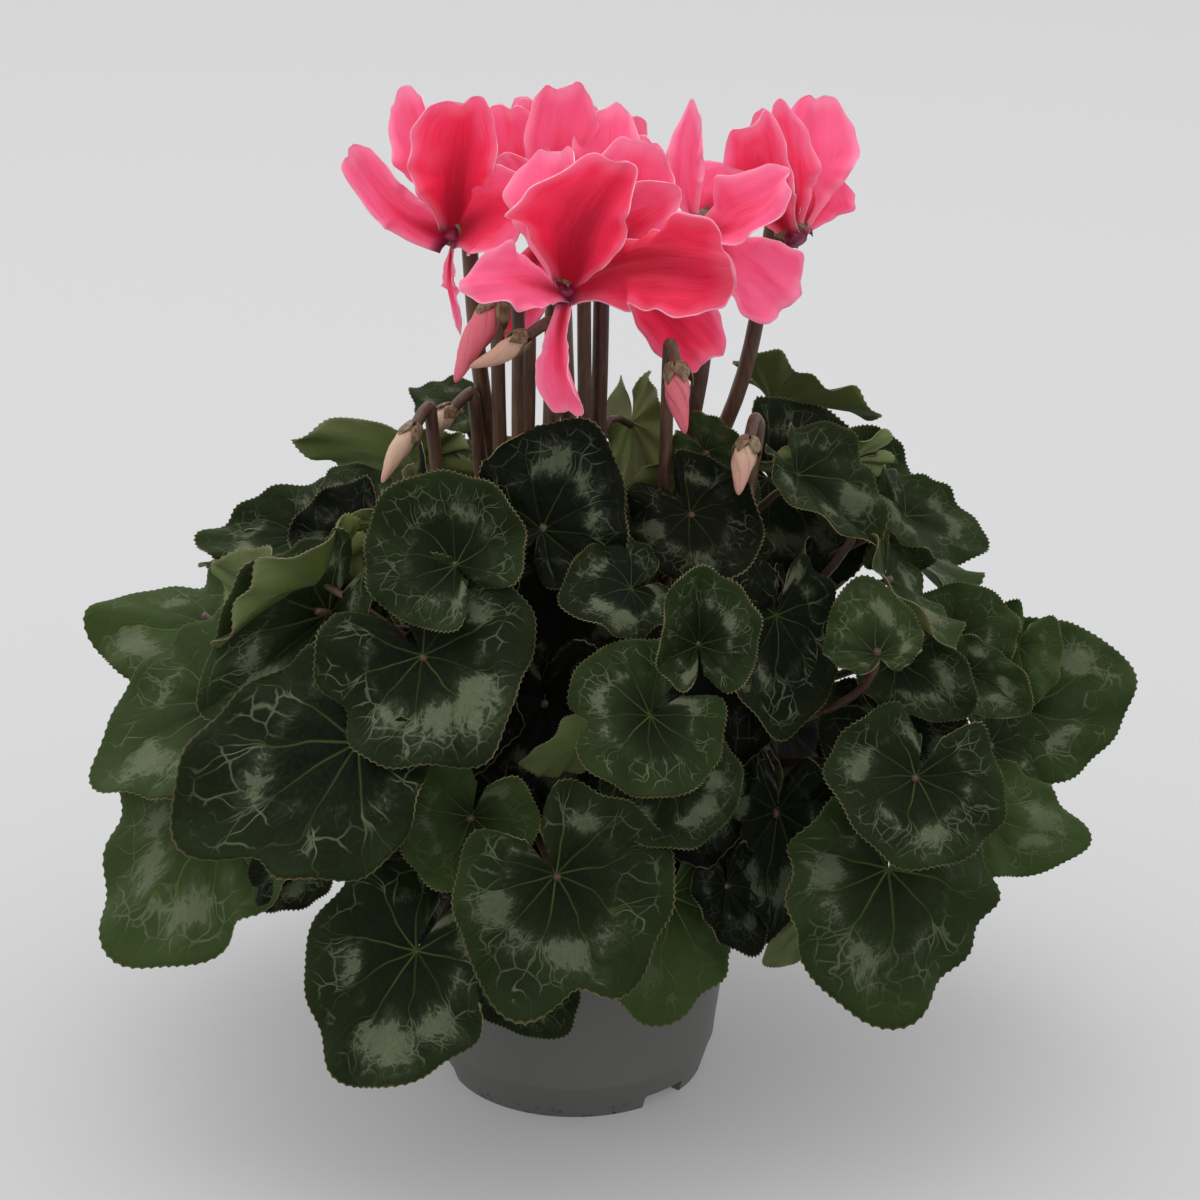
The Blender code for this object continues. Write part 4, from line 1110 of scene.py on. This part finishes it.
def makeFlower(name, row, slot, masters, finishes, rng):
    mouth, facing, petals = row
    heading = lookDirection(*facing)
    mouth = Vector(mouth)
    neck = mouth - heading * flowerShape["tubeLength"]
    parts = [makeHookedStalk(name, slot, neck, heading, flowerShape["stalk"], 1.05, 0.12, finishes)]
    reach = flowerShape["tubeLength"] + 0.5
    nosePath = [neck - heading * 0.5 + heading * (step * reach / 10) for step in range(11)]
    noseRadii = [2.0 + 2.0 * math.sin(min(step / 7, 1) * math.pi / 2) for step in range(11)]
    parts.append(makeTube(name + "_nose", nosePath, noseRadii, finishes["nose"], 7))
    parts += makeCalyx(name + "_calyx", neck, heading, flowerShape["calyxLength"],
                       flowerShape["calyxWidth"], masters["sepal"], finishes["calyx"], rng)
    for number, (tip, look, width, touches) in enumerate(petals, 1):
        aim = (Vector(tip) - mouth).normalized()
        foot = mouth - heading * 1.5 + aim * 0.5
        parts.append(
            makePetal(f"{name}_petal_{number}", foot, tip, look, width, touches, masters["petal"],
                      (finishes["petal"], finishes["rim"]), rng)
        )
    return joinPieces(*parts)


def makeBud(name, row, slot, masters, finishes, rng):
    neck, facing, length, width, tone = row
    heading = lookDirection(*facing)
    neck = Vector(neck)
    parts = [makeHookedStalk(name, slot, neck, heading, flowerShape["budStalk"], 1.15, 0.2, finishes)]
    bpy.ops.mesh.primitive_uv_sphere_add(segments=40, ring_count=28, radius=1)
    body = bpy.context.object
    body.name = name
    points = readPoints(body.data)
    along = (points[:, 2] + 1) / 2
    turn = np.arctan2(points[:, 1], points[:, 0])
    furl = turn + along * 2.6
    profile = np.interp(along, (0, 0.04, 0.2, 0.42, 0.7, 0.9, 0.98, 1),
                        (0, 0.62, 0.95, 1.0, 0.68, 0.36, 0.16, 0))
    saw = (furl / (2 * math.pi) * 5) % 1
    radius = profile * width / 2 * (1 + 0.13 * (saw**1.5 - 0.45) * ease(0.05, 0.35, along))
    side = heading.orthogonal().normalized()
    across = heading.cross(side)
    bend = 0.05 * length * np.sin(math.pi * along)
    world = pointsAlong(neck, (heading, along * length), (side, radius * np.cos(turn) + bend),
                        (across, radius * np.sin(turn)))
    writePoints(body.data, world * mm)
    addNote(body.data, "petalPlace", np.stack([along, furl / (2 * math.pi) * 5 % 1, 0 * along], 1))
    addNote(body.data, "petalSort", np.tile([tone, rng.uniform(0, 9), 0], (len(world), 1)))
    body.data.materials.append(finishes["bud"])
    mend(body)
    bpy.ops.object.shade_smooth()
    parts.append(body)
    parts += makeCalyx(name + "_calyx", neck - heading * 0.6, heading, max(length * 0.34, 6),
                       width * 1.05, masters["sepal"], finishes["calyx"], rng)
    return joinPieces(*parts)


# older stalks among the flowers, each by its top
bareStalkTops = ((-15, -12, 306), (4, -16, 306), (-26, -16, 300))


def makeBareStalks(finish):
    for number, top in enumerate(bareStalkTops, 1):
        top = Vector(top)
        start, rise = crownPoint(crown["bareRing"], math.atan2(top.x, -top.y))
        reach = (top - start).length
        path = bezier(start, start + rise * reach * 0.35,
                      top - Vector((0, 0, reach * 0.4)), top, 24)
        radii = [flowerShape["bareStalk"] - 0.3 * i / 23 for i in range(24)]
        stalk = makeTube(f"bareStalk_{number}", path, radii, finish)
        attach(stalk, "root")


def makeFlowers():
    petalMaster = makePetalMaster()
    bpy.ops.mesh.primitive_grid_add(x_subdivisions=10, y_subdivisions=6, size=2)
    sepalMaster = bpy.context.object
    bpy.ops.object.shade_smooth()
    masters = dict(petal=petalMaster, sepal=sepalMaster)
    finishes = dict(
        petal=makePetalSkin(), rim=makeSpotted("petalRim"), nose=makeSpotted("noseSkin"),
        calyx=makeCalyxSkin(), bud=makeBudSkin(), stalk=makeStalkSkin("flowerStalk", **stalkLook),
    )
    makeBareStalks(finishes["stalk"])
    heads = {name: Vector(row[0]) for name, row in {**flowerRows, **budRows}.items()}
    for number, (name, slot) in enumerate(crownSlots(heads, crown["flowerRings"]).items()):
        rng = np.random.default_rng(seeds["flowers"] + number)
        head = name.replace("_", "Head_")
        if name in flowerRows:
            piece = makeFlower(head, flowerRows[name], slot, masters, finishes, rng)
        else:
            piece = makeBud(head, budRows[name], slot, masters, finishes, rng)
        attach(piece, "root")
        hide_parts(name)
    bpy.data.objects.remove(petalMaster)
    bpy.data.objects.remove(sepalMaster)


# pot, soil and tuber
potShape = dict(
    height=98.0, rimRadius=65.0, bandHeight=9.0, bandStep=2.0, ridgeRadius=52.5, ridgeHeight=14.0,
    footRadius=48.0, wall=1.6, channelInner=30.0, channelOuter=44.5, channelHeight=8.0,
    notches=3, notchWidth=19.0, notchHeight=5.5, notchFirst=43.0, drain=3.5, segments=180,
    seamAngle=64.0,
)
soilShape = dict(height=87.0, radius=60.0, depth=12.0, crumbs=260, relief=1.2)


def makePot():
    shape = potShape
    wall, ridge, foot = shape["wall"], shape["ridgeRadius"], shape["footRadius"]
    rim, top = shape["rimRadius"], shape["height"]
    inner, outer, channel = shape["channelInner"], shape["channelOuter"], shape["channelHeight"]
    bandFoot = top - shape["bandHeight"]
    neck = rim - shape["bandStep"] - 0.6
    profile = [  # from the middle of the inside floor, up and over the rim, and back underneath
        (inner - wall, wall), (inner, channel + wall), (foot, channel + wall),
        (ridge - wall, shape["ridgeHeight"]), (rim - shape["bandStep"] - wall, top - 0.4),
        (rim - shape["bandStep"] - wall + 0.4, top), (rim - 0.9, top), (rim - 0.3, top - 0.3),
        (rim, top - 0.9), (rim - 0.6, bandFoot + 0.5), (rim - 1.0, bandFoot), (neck + 0.4, bandFoot),
        (neck, bandFoot - 0.5), (ridge + 0.15, shape["ridgeHeight"] + 0.9),
        (ridge + 0.25, shape["ridgeHeight"] + 0.4), (ridge + 0.1, shape["ridgeHeight"] - 0.1),
        (ridge - 0.3, shape["ridgeHeight"] - 0.6), (foot + 0.35, 1.0), (foot, 0.3), (foot - 0.4, 0),
        (outer + 0.3, 0), (outer, 0.4), (outer, channel), (inner + wall, channel), (inner, 0.4),
        (inner - 0.4, 0),
    ]
    first = profile[0]
    bpy.ops.mesh.primitive_circle_add(
        vertices=shape["segments"], radius=first[0] * mm, fill_type="NGON",
        location=(0, 0, first[1] * mm),
    )
    pot = bpy.context.object
    pot.name = "potShell"
    bpy.ops.object.transform_apply(location=True, rotation=True, scale=True)
    bpy.ops.object.mode_set(mode="EDIT")
    bpy.ops.mesh.select_mode(type="EDGE")
    bpy.ops.mesh.select_all(action="DESELECT")
    bpy.ops.mesh.select_non_manifold()
    radius, height = first
    for nextRadius, nextHeight in profile[1:]:
        bpy.ops.mesh.extrude_region_move()
        share = nextRadius / radius
        bpy.ops.transform.resize(value=(share, share, 1), center_override=(0, 0, 0))
        bpy.ops.transform.translate(value=(0, 0, (nextHeight - height) * mm))
        radius, height = nextRadius, nextHeight
    bpy.ops.mesh.edge_face_add()
    bpy.ops.object.mode_set(mode="OBJECT")
    mend(pot)

    middle = (inner + outer) / 2
    for number in range(shape["notches"]):
        azimuth = math.radians(shape["notchFirst"] + number * 360 / shape["notches"])
        side = Vector((math.sin(azimuth), -math.cos(azimuth), 0))
        bpy.ops.mesh.primitive_cube_add(
            size=mm, location=side * (outer + 5) * mm, rotation=(0, 0, azimuth),
            scale=(shape["notchWidth"], 12, 2 * shape["notchHeight"]),
        )
        notch = bpy.context.object
        bevelled(notch, 1.2, 3)
        bpy.ops.mesh.primitive_cylinder_add(
            vertices=32, radius=shape["drain"] * mm, depth=8 * mm,
            location=side * middle * mm + Vector((0, 0, channel * mm)),
        )
        drain = bpy.context.object
        for cutter in (notch, drain):
            cut = pot.modifiers.new("cut", "BOOLEAN")
            cut.operation, cut.object, cut.solver = "DIFFERENCE", cutter, "EXACT"
            applyModifiers(pot)
            bpy.data.objects.remove(cutter)
    pick(pot)
    bpy.ops.object.shade_smooth_by_angle(angle=math.radians(32))
    pot.data.materials.clear()
    pot.data.materials.append(makePotPlastic())

    seamAngle = math.radians(shape["seamAngle"])  # the mould's parting line
    bpy.ops.mesh.primitive_cube_add(size=mm)
    seam = bpy.context.object
    seam.name = "potSeam"
    side = Vector((math.sin(seamAngle), -math.cos(seamAngle), 0))
    low = side * (ridge - 0.15) + Vector((0, 0, shape["ridgeHeight"] + 1.5))
    high = side * (neck - 0.15) + Vector((0, 0, bandFoot - 1.0))
    run = high - low
    points = readPoints(seam.data) / mm
    across = Vector((math.cos(seamAngle), math.sin(seamAngle), 0))
    outward = across.cross(run).normalized()
    if outward.dot(side) < 0:
        outward = -outward
    world = pointsAlong((low + high) / 2, (run, points[:, 2]), (across, points[:, 0] * 0.5),
                        (outward, points[:, 1] * 0.5))
    writePoints(seam.data, world * mm)
    bevelled(seam, 0.12, 2)
    applyModifiers(seam)
    mend(seam)
    seam.data.materials.append(pot.data.materials[0])
    joinPieces(pot, seam)
    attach(pot, "root")
    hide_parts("pot")


def makeSoilBed():
    rng = np.random.default_rng(seeds["soil"])
    finish = makeSoil()
    bpy.ops.mesh.primitive_grid_add(x_subdivisions=90, y_subdivisions=90, size=2)
    bed = bpy.context.object
    bed.name = "soilBed"
    flat = readPoints(bed.data)[:, :2]
    # square to round
    x, y = flat[:, 0], flat[:, 1]
    disc = np.stack([x * np.sqrt(1 - y * y / 2), y * np.sqrt(1 - x * x / 2)], 1)
    disc = disc * soilShape["radius"]
    radius = np.hypot(disc[:, 0], disc[:, 1])
    height = soilShape["height"] + 1.5 * (1 - ease(38, 60, radius)) - 1.0 * ease(50, 60, radius)
    for _ in range(26):
        turn, offset = rng.uniform(0, 2 * math.pi, 2)
        speed = rng.uniform(0.15, 1.3)
        height += soilShape["relief"] * 0.16 / (0.4 + speed) * np.sin(
            (disc[:, 0] * math.cos(turn) + disc[:, 1] * math.sin(turn)) * speed + offset
        )
    points = np.stack([disc[:, 0], disc[:, 1], height], 1)
    writePoints(bed.data, points * mm)
    bpy.ops.object.mode_set(mode="EDIT")
    bpy.ops.mesh.select_all(action="SELECT")
    bpy.ops.mesh.extrude_region_move()
    bottom = (soilShape["height"] - soilShape["depth"]) * mm
    bpy.ops.transform.resize(value=(1, 1, 0), center_override=(0, 0, bottom))
    bpy.ops.object.mode_set(mode="OBJECT")
    mend(bed)
    bpy.ops.object.shade_smooth()
    bed.data.materials.append(finish)
    bpy.ops.mesh.primitive_ico_sphere_add(subdivisions=2, radius=1)
    crumbMaster = bpy.context.object
    lump = readPoints(crumbMaster.data)
    crumbs = []
    for number in range(soilShape["crumbs"]):
        crumb = copyOf(crumbMaster, f"crumb_{number}")
        size = rng.uniform(0.6, 1.9)
        away, turn = math.sqrt(rng.uniform(0.2, 1)) * 59, rng.uniform(0, 2 * math.pi)
        spin = Matrix.Rotation(rng.uniform(0, 6), 3, rng.normal(size=3))
        shape = lump * rng.uniform(0.6, 1.2, 3) + rng.normal(0, 0.10, lump.shape)
        shape = shape @ np.array(spin) * size
        level = soilShape["height"] + size * 0.2 - ease(50, 60, away)
        shape += (away * math.sin(turn), away * math.cos(turn), level)
        writePoints(crumb.data, shape * mm)
        crumbs.append(crumb)
    bpy.data.objects.remove(crumbMaster)
    joinPieces(bed, *crumbs)
    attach(bed, "root")
    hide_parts("potting_soil")


def makeTuber():
    rng = np.random.default_rng(seeds["tuber"])
    bpy.ops.mesh.primitive_uv_sphere_add(segments=72, ring_count=40, radius=1)
    tuber = bpy.context.object
    tuber.name = "tuberBody"
    points = readPoints(tuber.data)
    relief = 0
    for _ in range(30):
        turn = rng.normal(size=3)
        relief = relief + np.sin(points @ turn * rng.uniform(1, 9) + rng.uniform(0, 6))
    bulge = 1 - 0.012 - 0.006 * relief / 3
    shape = points * bulge[:, None] * (crown["radius"], crown["radius"], crown["halfHeight"])
    shape[:, 2] += crown["middle"]
    writePoints(tuber.data, shape * mm)
    bpy.ops.object.shade_smooth()
    tuber.data.materials.append(makeTuberBark())
    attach(tuber, "root")
    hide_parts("tuber")


makeStudio()
print("camera, floor and light are in place")
makePot()
print("pot is turned and cut")
makeSoilBed()
makeTuber()
print("soil and tuber are in the pot")
makeLeaves()
print("leaves are grown")
makeFlowers()
print("flowers and buds are open")
